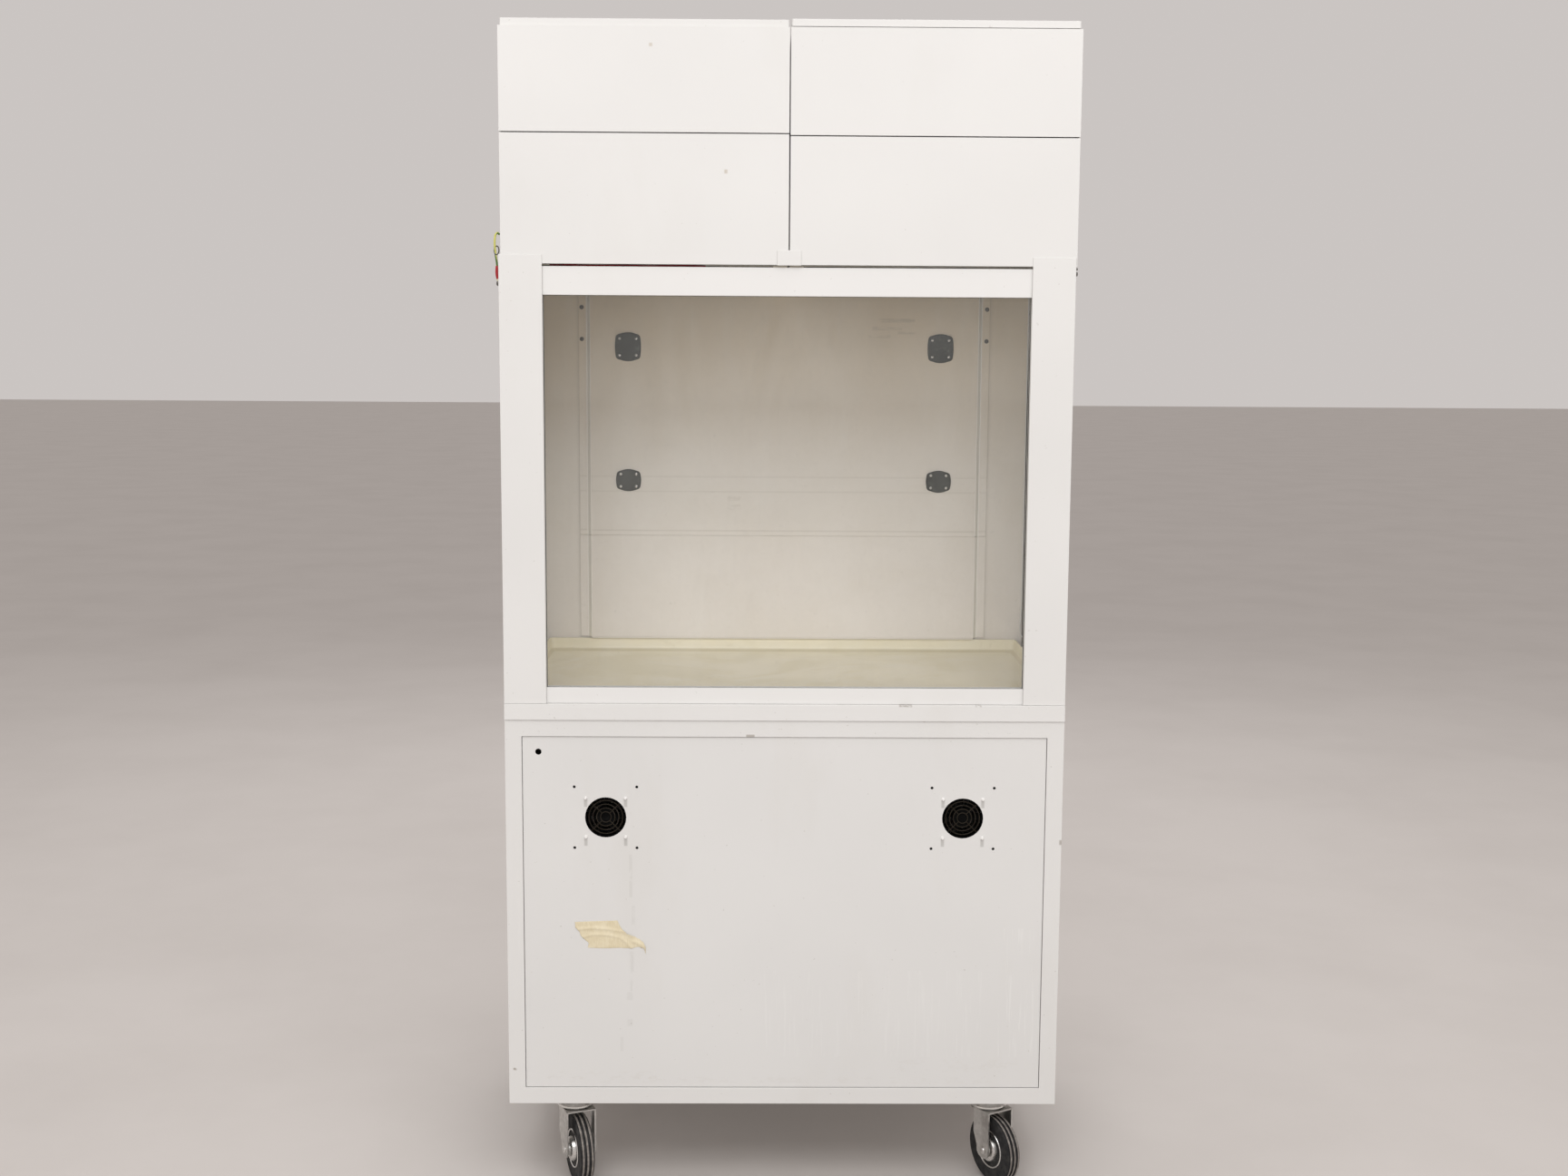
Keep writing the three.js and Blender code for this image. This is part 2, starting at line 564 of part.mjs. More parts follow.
node('front_stile_right', join(frontStile(), ...sideScrews()), whitePaint);
node('front_stile_left', mirrored(frontStile()), whitePaint);
node('sash_bottom_rail', sashRail(SASH.bottom, SASH.bottom + BOTTOM_RAIL, true), whitePaint);
node('sash_top_rail', sashRail(SASH.top - TOP_RAIL, SASH.top, false), whitePaint);
pair('sash_side_rail', sashSideRail(), whitePaint);
node('sash_glass', block(-GLASS.half, GLASS.half, GLASS.front, GLASS.back,
  SASH.bottom + GLASS.aboveBottom, SASH.top - TOP_RAIL + GLASS.intoTopRail), clearGlass);
pair('balance_drum', balanceDrum(), springSteel);

// ---------------------------------------------------------------- filter and blower modules
// A folded shell: bottom flange, a partition with the blower inlet, and a top flange under the cap.
function moduleShell({ x0, x1 }) {
  const { top, partition, bottomFlange, topFlange } = SHELL;
  const inner = [x0 + THIN, x1 - THIN, MODULE_FRONT + THIN, BACK - THIN];
  const shell = block(x0, x1, MODULE_FRONT, BACK, MODULE_BOTTOM, top);
  const openingAt = (edge, z0, z1) => block(x0 + edge, x1 - edge, MODULE_FRONT + edge, BACK - edge, z0, z1);
  return cut(shell,
    block(...inner, MODULE_BOTTOM + THIN, partition),
    block(...inner, partition + THIN, top - THIN),
    openingAt(bottomFlange, MODULE_BOTTOM - 1, MODULE_BOTTOM + THIN + 1),
    openingAt(topFlange, top - THIN - 1, top + 1),
    bar('z', BLOWER.inlet, partition - 1, partition + THIN + 1, [(x0 + x1) / 2, BLOWER.y], 24));
}

// A front cover with a return along its outer edge, and one along the top of the upper cover.
function fascia({ x0, x1, outer }, z0, z1, hasTopReturn) {
  const seamHalf = 1;
  const inner = MODULE_SEAM_X + outer * seamHalf;
  const [left, right] = outer < 0 ? [x0, inner] : [inner, x1];
  const returnBack = MODULE_FRONT - 1;
  const edge = outer < 0 ? x0 : x1 - SHEET;
  const bodies = [
    block(left, right, FASCIA_FRONT, FASCIA_FRONT + SHEET, z0, z1),
    block(edge, edge + SHEET, FASCIA_FRONT + 1, returnBack, z0, z1),
  ];
  if (hasTopReturn) {
    bodies.push(block(left, right, FASCIA_FRONT + 1, returnBack, z1 - THIN, z1));
  }
  return join(...bodies);
}

// The lid: rounded corners, a skirt all round, a round air outlet, and two dome screws at its front.
function topCap({ x0, x1, fascia: fasciaTop, outer }) {
  const left = outer < 0 ? x0 + CAP.inset : x0;
  const right = outer < 0 ? x1 : x1 - CAP.inset;
  const front = FASCIA_FRONT + CAP.inset;
  const back = BACK - CAP.inset;
  const bottom = fasciaTop + GAP + (outer < 0 ? 0 : CAP.rise);
  const top = bottom + CAP.height;
  const lid = extrude(roundedRectangle(left, right, front, back, CAP.corner), 'z', bottom, top, 4);
  const hollow = block(left + SHEET, right - SHEET, front + SHEET, back - SHEET, bottom - 1, top - SHEET);
  const outlet = bar('z', CAP.outlet, bottom, top + 1, [(x0 + x1) / 2, BLOWER.y], 32);
  const screws = [0.25, 0.75].map((share) => bar('z', CAP.screw, top - 1, top + 2,
    [left + share * (right - left), front + CAP.screwSetback], 12));
  return join(cut(lid, hollow, outlet), ...screws);
}

// A cassette frame with zigzag carbon media, open above and below.
function carbonFilter({ x0, x1 }) {
  const { half, setback, height, wall, folds, media } = FILTER;
  const left = (x0 + x1) / 2 - half;
  const right = left + 2 * half;
  const front = MODULE_FRONT + setback;
  const back = BACK - setback;
  const bottom = MODULE_BOTTOM + THIN + GAP;
  const frame = cut(block(left, right, front, back, bottom, bottom + height),
    block(left + wall, right - wall, front + wall, back - wall, bottom - 1, bottom + height + 1));
  const pitch = (2 * half - 2 * wall + 2) / folds;
  const lower = [];
  const upper = [];
  for (let i = 0; i <= folds; i += 1) {
    const x = left + wall - 1 + i * pitch;
    const z = bottom + wall + (i % 2) * (height - 2 * wall - media);
    lower.push([x, z]);
    upper.unshift([x, z + media]);
  }
  return join(frame, extrude([...lower, ...upper], 'y', front + wall - 1, back - wall + 1));
}

// A centrifugal wheel: inlet ring, backward-leaning blades and a back disc, turning about z.
function exhaustImpeller({ x0, x1 }) {
  const { radius, bottom, top, disc, eye, hub, hubDepth } = IMPELLER;
  const { count, chord, thickness, middle, lean } = IMPELLER_BLADE;
  const inletRing = cut(bar('z', radius, bottom, bottom + disc, [0, 0], 24),
    bar('z', eye, bottom - 1, bottom + disc + 1, [0, 0], 24));
  const blades = [];
  for (let i = 0; i < count; i += 1) {
    const blade = new THREE.BoxGeometry(chord, thickness, top - bottom);
    blade.rotateZ(lean).translate(middle, 0, (bottom + top) / 2 + 1).rotateZ(i * 2 * Math.PI / count);
    blades.push(solid(blade));
  }
  const wheel = join(
    inletRing,
    bar('z', radius, top, top + disc, [0, 0], 24),
    bar('z', hub, top - hubDepth, top + 1, [0, 0]),
    ...blades,
  );
  const bore = bar('z', MOTOR.shaft + 1, top - hubDepth - 1, top + disc + 1, [0, 0], 10);
  return solid(geometryOf(cut(wheel, bore)).translate((x0 + x1) / 2, BLOWER.y, 0));
}

// The motor above the wheel, its shaft, and the strap that holds it across the module.
function blowerMotor({ x0, x1 }) {
  const { radius, height, clearance, shaft, strapHalf, strap, strapDrop } = MOTOR;
  const centre = [(x0 + x1) / 2, BLOWER.y];
  const bottom = IMPELLER.top + clearance;
  const top = bottom + height;
  const ends = [x0 + THIN + 0.5, x1 - THIN - 0.5];
  const strapAt = (left, right, z0, z1) =>
    block(left, right, BLOWER.y - strapHalf, BLOWER.y + strapHalf, z0, z1);
  return join(
    bar('z', radius, bottom, top + 1, centre, 20),
    bar('z', shaft, IMPELLER.top - 12, bottom + 1, centre, 10),
    strapAt(ends[0], ends[1], top, top + strap),
    strapAt(ends[0], ends[0] + strap, top - strapDrop, top + 1),
    strapAt(ends[1] - strap, ends[1], top - strapDrop, top + 1),
  );
}

for (const [side, module] of Object.entries(MODULES)) {
  node(`module_shell_${side}`, moduleShell(module), whitePaint);
  node(`filter_fascia_${side}`, fascia(module, MODULE_BOTTOM, module.seam - 1, false), whitePaint);
  node(`fan_fascia_${side}`, fascia(module, module.seam + 1, module.fascia, true), whitePaint);
  node(`top_cap_${side}`, topCap(module), whitePaint);
  node(`carbon_filter_${side}`, carbonFilter(module), filterMedia);
  node(`exhaust_impeller_${side}`, exhaustImpeller(module), darkPlastic);
  node(`blower_motor_${side}`, blowerMotor(module), motorMetal);
}

// The small cover over the foot of the seam between the two lower front covers.
node('centre_clip', block(MODULE_SEAM_X - CLIP.width / 2, MODULE_SEAM_X + CLIP.width / 2,
  FRONT, FASCIA_FRONT - GAP, CLIP.bottom, CLIP.bottom + CLIP.height), whitePaint);

// ---------------------------------------------------------------- earth lead
// A short green and yellow lead from the left module's side down to the chamber's side.
const LEAD = { radius: 2, steps: 20, segments: 4 };
const LEAD_ROUTE = [
  [-500, -298, 1730], [-504, -299, 1733], [-507.5, -300, 1728], [-508.5, -301, 1714],
  [-507, -302, 1696], [-505, -301, 1680], [-505, -300, 1664], [-503.5, -299, 1650],
];

function earthLead() {
  const curve = new THREE.CatmullRomCurve3(LEAD_ROUTE.map((p) => new THREE.Vector3(...p)));
  const section = new THREE.Shape();
  section.absarc(0, 0, LEAD.radius, 0, 2 * Math.PI);
  const path = { steps: LEAD.steps, extrudePath: curve, curveSegments: LEAD.segments };
  return solid(new THREE.ExtrudeGeometry(section, path));
}

node('earth_lead', earthLead(), earthWire);

export default hood;
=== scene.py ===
"""The looks of the mobile fume hood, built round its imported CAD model. Metres, +Z up, the front faces -Y."""

import json
import math
from itertools import product

import bmesh
import bpy
from mathutils import Matrix, Vector, noise


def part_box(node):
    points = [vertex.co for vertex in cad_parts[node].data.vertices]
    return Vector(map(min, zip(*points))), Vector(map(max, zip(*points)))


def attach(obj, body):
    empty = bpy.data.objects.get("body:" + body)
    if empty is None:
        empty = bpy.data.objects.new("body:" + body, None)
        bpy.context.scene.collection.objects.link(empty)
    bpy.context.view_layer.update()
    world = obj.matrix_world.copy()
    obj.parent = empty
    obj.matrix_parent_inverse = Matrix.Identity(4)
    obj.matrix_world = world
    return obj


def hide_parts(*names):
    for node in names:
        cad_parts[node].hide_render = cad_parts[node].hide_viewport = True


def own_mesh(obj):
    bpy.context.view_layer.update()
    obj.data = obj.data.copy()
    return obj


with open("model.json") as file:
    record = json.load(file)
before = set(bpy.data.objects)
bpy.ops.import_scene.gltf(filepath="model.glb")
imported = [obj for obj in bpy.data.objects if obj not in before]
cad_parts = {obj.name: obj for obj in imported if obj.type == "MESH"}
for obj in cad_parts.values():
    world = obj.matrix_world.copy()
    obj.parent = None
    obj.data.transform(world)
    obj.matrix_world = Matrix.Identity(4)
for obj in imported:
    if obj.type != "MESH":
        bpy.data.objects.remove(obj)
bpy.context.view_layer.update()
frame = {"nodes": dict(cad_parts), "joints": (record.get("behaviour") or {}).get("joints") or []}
NODES = frame["nodes"]
CABINET = "cabinet"
SASH = "sash"
SIDES = {"left": -1, "right": 1}
CASTORS = ("front_left", "front_right", "rear_left", "rear_right")
MM = 0.001
FAN_PITCH = 0.0715
X_AXIS, Y_AXIS, Z_AXIS = Vector((1, 0, 0)), Vector((0, 1, 0)), Vector((0, 0, 1))


# ------ camera, lights and floor
CAMERA_AT = Vector((-0.0382, -3.5046, 1.5212))
PITCH, YAW, ROLL = 7.231, 0.631, 0.347
LENS, SENSOR = 41.667, 36.0


def add_camera():
    pitch, yaw, roll = (math.radians(v) for v in (PITCH, YAW, ROLL))
    forward = Vector((math.sin(yaw) * math.cos(pitch), math.cos(yaw) * math.cos(pitch), -math.sin(pitch)))
    level = Vector((math.cos(yaw), -math.sin(yaw), 0))
    upright = level.cross(forward)
    right = math.cos(roll) * level + math.sin(roll) * upright
    up = math.cos(roll) * upright - math.sin(roll) * level
    data = bpy.data.cameras.new("camera")
    data.lens, data.sensor_width = LENS, SENSOR
    data.clip_end = 60
    camera = bpy.data.objects.new("camera", data)
    turn = Matrix((right, up, -forward)).transposed().to_4x4()
    camera.matrix_world = Matrix.Translation(CAMERA_AT) @ turn
    bpy.context.scene.collection.objects.link(camera)
    bpy.context.scene.camera = camera


def add_area_light(name, at, target, size, energy, color):
    data = bpy.data.lights.new(name, "AREA")
    data.shape, data.size, data.size_y = "RECTANGLE", size[0], size[1]
    data.energy, data.color = energy, color
    light = bpy.data.objects.new(name, data)
    light.location = at
    light.visible_glossy = "fill" not in name
    light.visible_camera = False
    light.rotation_euler = (Vector(target) - Vector(at)).to_track_quat("-Z", "Y").to_euler()
    bpy.context.scene.collection.objects.link(light)


def add_studio():
    add_area_light("ceiling_front", (0.3, -3.3, 4.1), (0, -0.1, 1.1), (4.4, 2.4), 84, (0.985, 0.992, 1))
    add_area_light("ceiling_top", (0.0, -0.6, 4.6), (0, 0, 1.0), (3.6, 2.4), 26, (1, 0.99, 0.98))
    add_area_light("ceiling_back", (0.0, 3.6, 3.9), (0, 0.2, 1.1), (4.0, 2.0), 60, (0.985, 0.992, 1))
    add_area_light("fill", (-0.6, -5.2, 1.7), (0, 0, 1.15), (4.0, 2.6), 60, (0.975, 0.99, 1))
    world = bpy.data.worlds.new("studio")
    world.use_nodes = True
    background = world.node_tree.nodes["Background"]
    background.inputs["Color"].default_value = (0.645, 0.607, 0.588, 1)
    background.inputs["Strength"].default_value = 0.92
    bpy.context.scene.world = world
    view = bpy.context.scene.view_settings
    view.view_transform = "Standard"
    view.look = "None"
    view.exposure = 0.0


# ------ procedural materials
class Finish:
    """A node material in the making: a Principled shader and short helpers for the nodes before it."""

    def __init__(self, name, roughness=0.5, metallic=0.0):
        self.material = bpy.data.materials.new(name)
        self.material.use_nodes = True
        self.nodes = self.material.node_tree.nodes
        self.links = self.material.node_tree.links
        self.shader = self.nodes["Principled BSDF"]
        self.shader.inputs["Roughness"].default_value = roughness
        self.shader.inputs["Metallic"].default_value = metallic
        self.place = self.nodes.new("ShaderNodeTexCoord").outputs["Object"]

    def add(self, kind, settings=None, **inputs):
        """A shader node of a kind, with its settings, and its inputs by name."""
        node = self.nodes.new(f"ShaderNode{kind}")
        for key, value in (settings or {}).items():
            setattr(node, key, value)
        for key, value in inputs.items():
            self.feed(node.inputs[key.replace("_", " ")], value)
        return node

    def feed(self, socket, value):
        if isinstance(value, bpy.types.NodeSocket):
            self.links.new(value, socket)
        else:
            socket.default_value = value

    def stretched(self, scale):
        return self.add("Mapping", Vector=self.place, Scale=scale).outputs["Vector"]

    def noise(self, scale, detail=3.0, roughness=0.55, stretch=None, distortion=0.0):
        vector = self.stretched(stretch) if stretch else self.place
        node = self.add("TexNoise", Vector=vector, Scale=scale, Detail=detail,
                        Roughness=roughness, Distortion=distortion)
        return node.outputs["Fac"]

    def ramp(self, value, *stops):
        node = self.add("ValToRGB", Fac=value)
        ramp = node.color_ramp
        while len(ramp.elements) < len(stops):
            ramp.elements.new(0.5)
        for element, (at, color) in zip(ramp.elements, stops):
            element.position = at
            element.color = (*color, 1) if hasattr(color, "__len__") else (color, color, color, 1)
        return node.outputs["Color"]

    def mix(self, factor, a, b):
        node = self.add("Mix", {"data_type": "RGBA"}, Factor=factor)
        for socket, value in ((node.inputs[6], a), (node.inputs[7], b)):
            self.feed(socket, (*value, 1) if isinstance(value, tuple) and len(value) == 3 else value)
        return node.outputs[2]

    def blotch(self, tone, color, low, high, most, *shape, **more):
        """Lays a color over a tone where a noise is above low, up to the share most from high on."""
        return self.mix(self.ramp(self.noise(*shape, **more), (low, 0.0), (high, most)), tone, color)

    def times(self, a, b):
        return self.math("MULTIPLY", a, b)

    def math(self, operation, a, b=0.5, clamp=False):
        node = self.add("Math", {"operation": operation, "use_clamp": clamp})
        self.feed(node.inputs[0], a)
        self.feed(node.inputs[1], b)
        return node.outputs[0]

    def axis(self, letter):
        return self.add("SeparateXYZ", Vector=self.place).outputs[letter]

    def span(self, value, low, high, low_out=0.0, high_out=1.0):
        node = self.add("MapRange", {"interpolation_type": "SMOOTHSTEP"}, Value=value,
                        From_Min=low, From_Max=high, To_Min=low_out, To_Max=high_out)
        return node.outputs["Result"]

    def patch(self, x, z, half_x, half_z, edge):
        """1 inside a rectangle in X and Z, falling to 0 across edge metres."""
        masks = []
        for letter, middle, half in (("X", x, half_x), ("Z", z, half_z)):
            away = self.math("ABSOLUTE", self.math("SUBTRACT", self.axis(letter), middle))
            masks.append(self.span(away, half, half + edge, 1.0, 0.0))
        return self.times(masks[0], masks[1])

    def color(self, value):
        self.feed(self.shader.inputs["Base Color"], (*value, 1) if isinstance(value, tuple) else value)

    def roughness(self, value, low, high):
        self.feed(self.shader.inputs["Roughness"], self.span(value, 0.3, 0.7, low, high))

    def bump(self, *layers):
        """Each layer is (height, strength, distance)."""
        normal = None
        for height, strength, distance in layers:
            node = self.add("Bump", Height=height, Strength=strength, Distance=distance)
            if normal:
                self.feed(node.inputs["Normal"], normal)
            normal = node.outputs["Normal"]
        self.feed(self.shader.inputs["Normal"], normal)


GRIME = (0.52, 0.47, 0.38)


def powder_coat(name, color, age, extra=None):
    """Satin powder coat: orange peel, slow tone changes, faint smears and specks of dirt."""
    f = Finish(name)
    tone = f.blotch(color, tuple(c * 0.955 for c in color), 0.35, 0.7, 1.0, 2.3, 2.0)
    tone = f.blotch(tone, GRIME, 0.56, 0.76, 0.24 * age, 6.0, 4.0, 0.6, stretch=(1.0, 1.0, 0.35))
    tone = f.blotch(tone, tuple(c * 0.6 for c in GRIME), 0.735, 0.765, 0.75 * age, 150.0, 2.0, 0.5)
    if extra:
        tone = extra(f, tone)
    f.color(tone)
    f.roughness(f.noise(11.0, 4.0), 0.36, 0.52)
    f.shader.inputs["Specular IOR Level"].default_value = 0.45
    f.bump((f.noise(520.0, 2.0, 0.45), 0.10, 0.00035), (f.noise(9.0, 2.0), 0.08, 0.002))
    return f.material


def marked(f, tone, patches, color, scale, stretch, threshold):
    """Adds broken marks inside rectangles given as (x, z, half_x, half_z, strength)."""
    breaks = f.ramp(f.noise(scale, 3.0, 0.7, stretch=stretch), (threshold, 0.0), (threshold + 0.08, 1.0))
    for x, z, half_x, half_z, strength in patches:
        area = f.times(f.patch(x, z, half_x, half_z, 0.003), strength)
        tone = f.mix(f.times(area, breaks), tone, color)
    return tone


def base_panel_marks(f, tone):
    """Faint dirty runs under the left fan, lightly rubbed paint low down, and painted shadows under the fan
    studs.
    """
    runs = [(-0.2765, 0.592, 0.0012, 0.038, 0.24), (-0.2720, 0.519, 0.0014, 0.016, 0.20),
            (-0.2750, 0.414, 0.0016, 0.036, 0.24), (-0.2790, 0.367, 0.0040, 0.006, 0.18),
            (-0.2790, 0.317, 0.0035, 0.005, 0.18), (-0.2940, 0.276, 0.0011, 0.012, 0.18)]
    tone = marked(f, tone, runs, (0.50, 0.49, 0.46), 60.0, (1.0, 1.0, 0.5), 0.40)
    rubbed = [(0.32, 0.236, 0.12, 0.010, 0.10), (-0.33, 0.217, 0.10, 0.006, 0.12),
              (0.0, 0.208, 0.40, 0.004, 0.10)]
    tone = marked(f, tone, rubbed, (0.55, 0.52, 0.46), 45.0, (1.0, 1.0, 2.0), 0.52)
    scratched = [(0.425, 0.374, 0.030, 0.12, 0.25), (0.16, 0.334, 0.20, 0.08, 0.12)]
    tone = marked(f, tone, scratched, (0.84, 0.84, 0.82), 170.0, (1.0, 1.0, 0.05), 0.55)
    half_pitch = FAN_PITCH / 2
    # painted shadow: a grey streak below each fan stud, where its shade falls
    for x, u, v in product((-0.321, 0.321), (-half_pitch, half_pitch), (-half_pitch, half_pitch)):
        stud_shadow = f.patch(x + u, 0.691 + v, 0.0014, 0.006, 0.003)
        tone = f.mix(f.times(stud_shadow, 0.60), tone, (0.40, 0.39, 0.37))
    return tone


def chipped(color, scale, threshold, *chips):
    """Marks for a powder coat: small chips, each given as a patch of marked."""
    return lambda f, tone: marked(f, tone, chips, color, scale, (1.0, 1.0, 1.0), threshold)


def stile_marks(f, tone):
    """The two screw heads that stand out from the post's side are dark steel."""
    return f.mix(f.span(f.axis("X"), 0.5002, 0.5006), tone, (0.12, 0.11, 0.10))


def liner_marks(f, tone):
    """Darker and yellower towards the top, as yellowing with painted shade under the top; mottled and wiped,
    with faint level lines, scuffs and a painted highlight along the baffles' folds.
    """
    # painted shade with yellowing: the liner turns darker and yellower towards the top, under the lid
    tone = f.mix(f.span(f.axis("Z"), 1.02, 1.27), tone, (0.83, 0.79, 0.73))
    tone = f.mix(f.span(f.axis("Z"), 1.25, 1.66), tone, (0.79, 0.68, 0.525))
    tone = f.blotch(tone, (0.66, 0.60, 0.49), 0.42, 0.7, 0.14, 6.0, 6.0, 0.68, (1.0, 1.0, 1.6), 0.3)
    tone = f.blotch(tone, (0.92, 0.90, 0.86), 0.54, 0.74, 0.15, 24.0, 5.0, 0.7, (1.0, 1.0, 0.12))
    tone = f.blotch(tone, (0.56, 0.51, 0.43), 0.45, 0.75, 0.10, 130.0, 4.0, 0.75)
    scuffs = [(0.225, 1.596, 0.034, 0.0022, 0.28), (0.205, 1.580, 0.028, 0.0018, 0.22),
              (0.250, 1.572, 0.022, 0.0016, 0.24), (0.190, 1.564, 0.020, 0.0014, 0.2),
              (-0.255, 1.642, 0.05, 0.0018, 0.2), (-0.10, 1.229, 0.012, 0.012, 0.15)]
    tone = marked(f, tone, scuffs, (0.40, 0.35, 0.28), 80.0, (0.5, 1.0, 2.6), 0.46)
    for z, strength in ((1.173, 0.22), (1.252, 0.16), (1.282, 0.14)):
        line = f.patch(0.0, z, 0.41, 0.0004, 0.0022)
        tone = f.mix(f.times(line, strength), tone, (0.45, 0.41, 0.34))
    # painted highlight: a lighter strip on the baffles' sloped folds, where their faces fall into shade
    away = f.math("ABSOLUTE", f.axis("X"))
    fold_highlight = f.times(f.span(away, 0.3872, 0.3886), f.span(away, 0.3956, 0.3980, 1.0, 0.0))
    return f.mix(f.times(fold_highlight, 0.9), tone, (0.95, 0.93, 0.88))


def wall_marks(f, tone):
    """The back wall beside the baffles: darker than the liner as painted shade, with a painted shadow line
    next to each flange.
    """
    tone = liner_marks(f, tone)
    away = f.math("ABSOLUTE", f.axis("X"))
    # painted shadow: a darker line just outside each flange
    return f.mix(f.span(away, 0.411, 0.420, 0.22, 0.0), tone, (0.42, 0.40, 0.35))


def metal(name, color, roughness, mottle=0.12):
    f = Finish(name, roughness, 1.0)
    dark, light = (tuple(min(1, c * share) for c in color) for share in (1 - mottle, 1 + mottle))
    spangle = f.blotch(dark, light, 0.35, 0.68, 1.0, 90.0, 3.0, 0.6)
    f.color(f.blotch(spangle, (0.20, 0.16, 0.12), 0.58, 0.72, 0.35, 38.0, 5.0, 0.7))
    f.roughness(f.noise(60.0, 4.0), roughness - 0.08, roughness + 0.16)
    f.bump((f.noise(300.0, 3.0), 0.15, 0.0003))
    return f.material


def plastic(name, color, roughness, dust, dust_color=(0.45, 0.43, 0.40), shine=0.5):
    f = Finish(name, roughness)
    f.shader.inputs["Specular IOR Level"].default_value = shine
    tone = f.blotch(color, tuple(c * 0.82 for c in color), 0.4, 0.7, 1.0, 30.0, 4.0)
    f.color(f.blotch(tone, dust_color, 0.52, 0.74, dust, 75.0, 5.0, 0.7))
    f.roughness(f.noise(45.0, 3.0), roughness - 0.1, roughness + 0.15)
    f.bump((f.noise(600.0, 2.0), 0.2, 0.0004))
    return f.material


def tray_finish():
    """Yellowed moulding with dried pools, wiping marks and a browner line round its floor."""
    f = Finish("tray_yellowed")
    pools = f.ramp(f.noise(4.5, 5.0, 0.6, distortion=0.8), (0.40, 0.0), (0.62, 1.0))
    tone = f.mix(pools, (0.91, 0.85, 0.67), (0.86, 0.80, 0.61))
    tone = f.blotch(tone, (0.91, 0.88, 0.78), 0.50, 0.72, 0.25, 20.0, 4.0, 0.65, (0.5, 1.6, 1.0))
    rings = f.ramp(f.noise(13.0, 3.0, 0.55, distortion=1.2), (0.495, 0.0), (0.505, 0.16), (0.515, 0.0))
    tone = f.mix(rings, tone, (0.56, 0.48, 0.30))
    height = f.axis("Z")
    corner = f.times(f.span(height, 0.9262, 0.9268), f.span(height, 0.9300, 0.9330, 1.0, 0.0))
    tone = f.mix(f.times(corner, 0.5), tone, (0.60, 0.52, 0.34))
    f.color(tone)
    f.roughness(pools, 0.28, 0.46)
    f.bump((f.noise(240.0, 3.0), 0.12, 0.0004), (f.noise(5.0, 2.0), 0.2, 0.003))
    return f.material


def glass_finish():
    """Thin clear pane: a mirror share that grows at a slant, and a wiped dusty film in front of it."""
    f = Finish("sash_pane", 0.03)
    f.color((0.88, 0.90, 0.88))
    slant = f.add("LayerWeight", Blend=0.5).outputs["Facing"]
    mirror = f.math("MULTIPLY_ADD", f.math("POWER", slant, 5.0), 0.96)
    mirror.node.inputs[2].default_value = 0.04
    haze = f.ramp(f.noise(3.2, 5.0, 0.62, stretch=(2.6, 1.0, 0.7), distortion=0.6), (0.42, 0.0), (0.75, 0.03))
    dust = f.ramp(f.noise(210.0, 2.0, 0.5), (0.72, 0.0), (0.76, 0.08))
    film = f.math("ADD", f.math("ADD", haze, dust), 0.006)
    cover = f.math("ADD", mirror, film, clamp=True)
    f.feed(f.shader.inputs["Alpha"], cover)
    f.feed(f.shader.inputs["Metallic"], f.math("DIVIDE", mirror, cover, clamp=True))
    return f.material


def rubber_finish(name, color, dust):
    f = Finish(name, 0.75)
    f.color(f.blotch(color, (0.40, 0.37, 0.33), 0.45, 0.72, dust, 85.0, 5.0, 0.7))
    f.roughness(f.noise(70.0, 4.0), 0.6, 0.9)
    f.bump((f.noise(420.0, 4.0, 0.6), 0.3, 0.0005))
    return f.material


def tape_finish():
    """Old crepe masking tape."""
    f = Finish("masking_paper", 0.7)
    crepe = f.noise(420.0, 3.0, 0.6, stretch=(1.0, 1.0, 0.16))
    tone = f.blotch((0.74, 0.66, 0.475), (0.66, 0.57, 0.38), 0.35, 0.7, 1.0, 45.0, 4.0)
    f.color(f.mix(f.ramp(crepe, (0.45, 0.0), (0.75, 0.35)), tone, (0.90, 0.83, 0.66)))
    f.roughness(f.noise(80.0, 3.0), 0.55, 0.8)
    f.bump((crepe, 0.5, 0.0005))
    return f.material


def media_finish():
    f = Finish("carbon_fleece", 0.95)
    grain = f.add("TexVoronoi", Vector=f.place, Scale=420.0).outputs["Distance"]
    f.color(f.ramp(grain, (0.1, (0.09, 0.09, 0.09)), (0.7, (0.02, 0.02, 0.02))))
    f.bump((grain, 0.8, 0.001))
    return f.material


def plenum_shade_finish():
    """Near-black plenum lining that stands in as painted shade, stained brown and flecked with white."""
    f = Finish("plenum_shade_lining", 0.9)
    stain = f.ramp(f.noise(16.0, 4.0, 0.6, stretch=(1.0, 1.0, 0.4)), (0.45, (0.012, 0.010, 0.009)),
                   (0.62, (0.10, 0.06, 0.035)))
    f.color(f.blotch(stain, (0.42, 0.38, 0.33), 0.66, 0.70, 0.7, 60.0, 3.0, 0.6))
    f.bump((f.noise(200.0, 3.0), 0.5, 0.001))
    return f.material


def floor_finish():
    f = Finish("studio_floor", 0.75)
    f.color(f.blotch((0.60, 0.565, 0.54), (0.57, 0.535, 0.51), 0.4, 0.7, 1.0, 1.6, 5.0, 0.6))
    f.bump((f.noise(60.0, 4.0), 0.1, 0.001))
    return f.material


WHITE = (0.745, 0.736, 0.718)
LINER = (0.88, 0.835, 0.785)
COVER_CHIPS = chipped((0.50, 0.44, 0.36), 300.0, 0.25, (-0.2359, 2.0491, 0.0014, 0.0014, 0.6),
                      (-0.1073, 1.8381, 0.0012, 0.0018, 0.7))
SILL_CHIPS = chipped((0.36, 0.33, 0.30), 220.0, 0.42, (0.215, 0.9075, 0.010, 0.0012, 0.7),
                     (0.345, 0.9075, 0.004, 0.0010, 0.5))
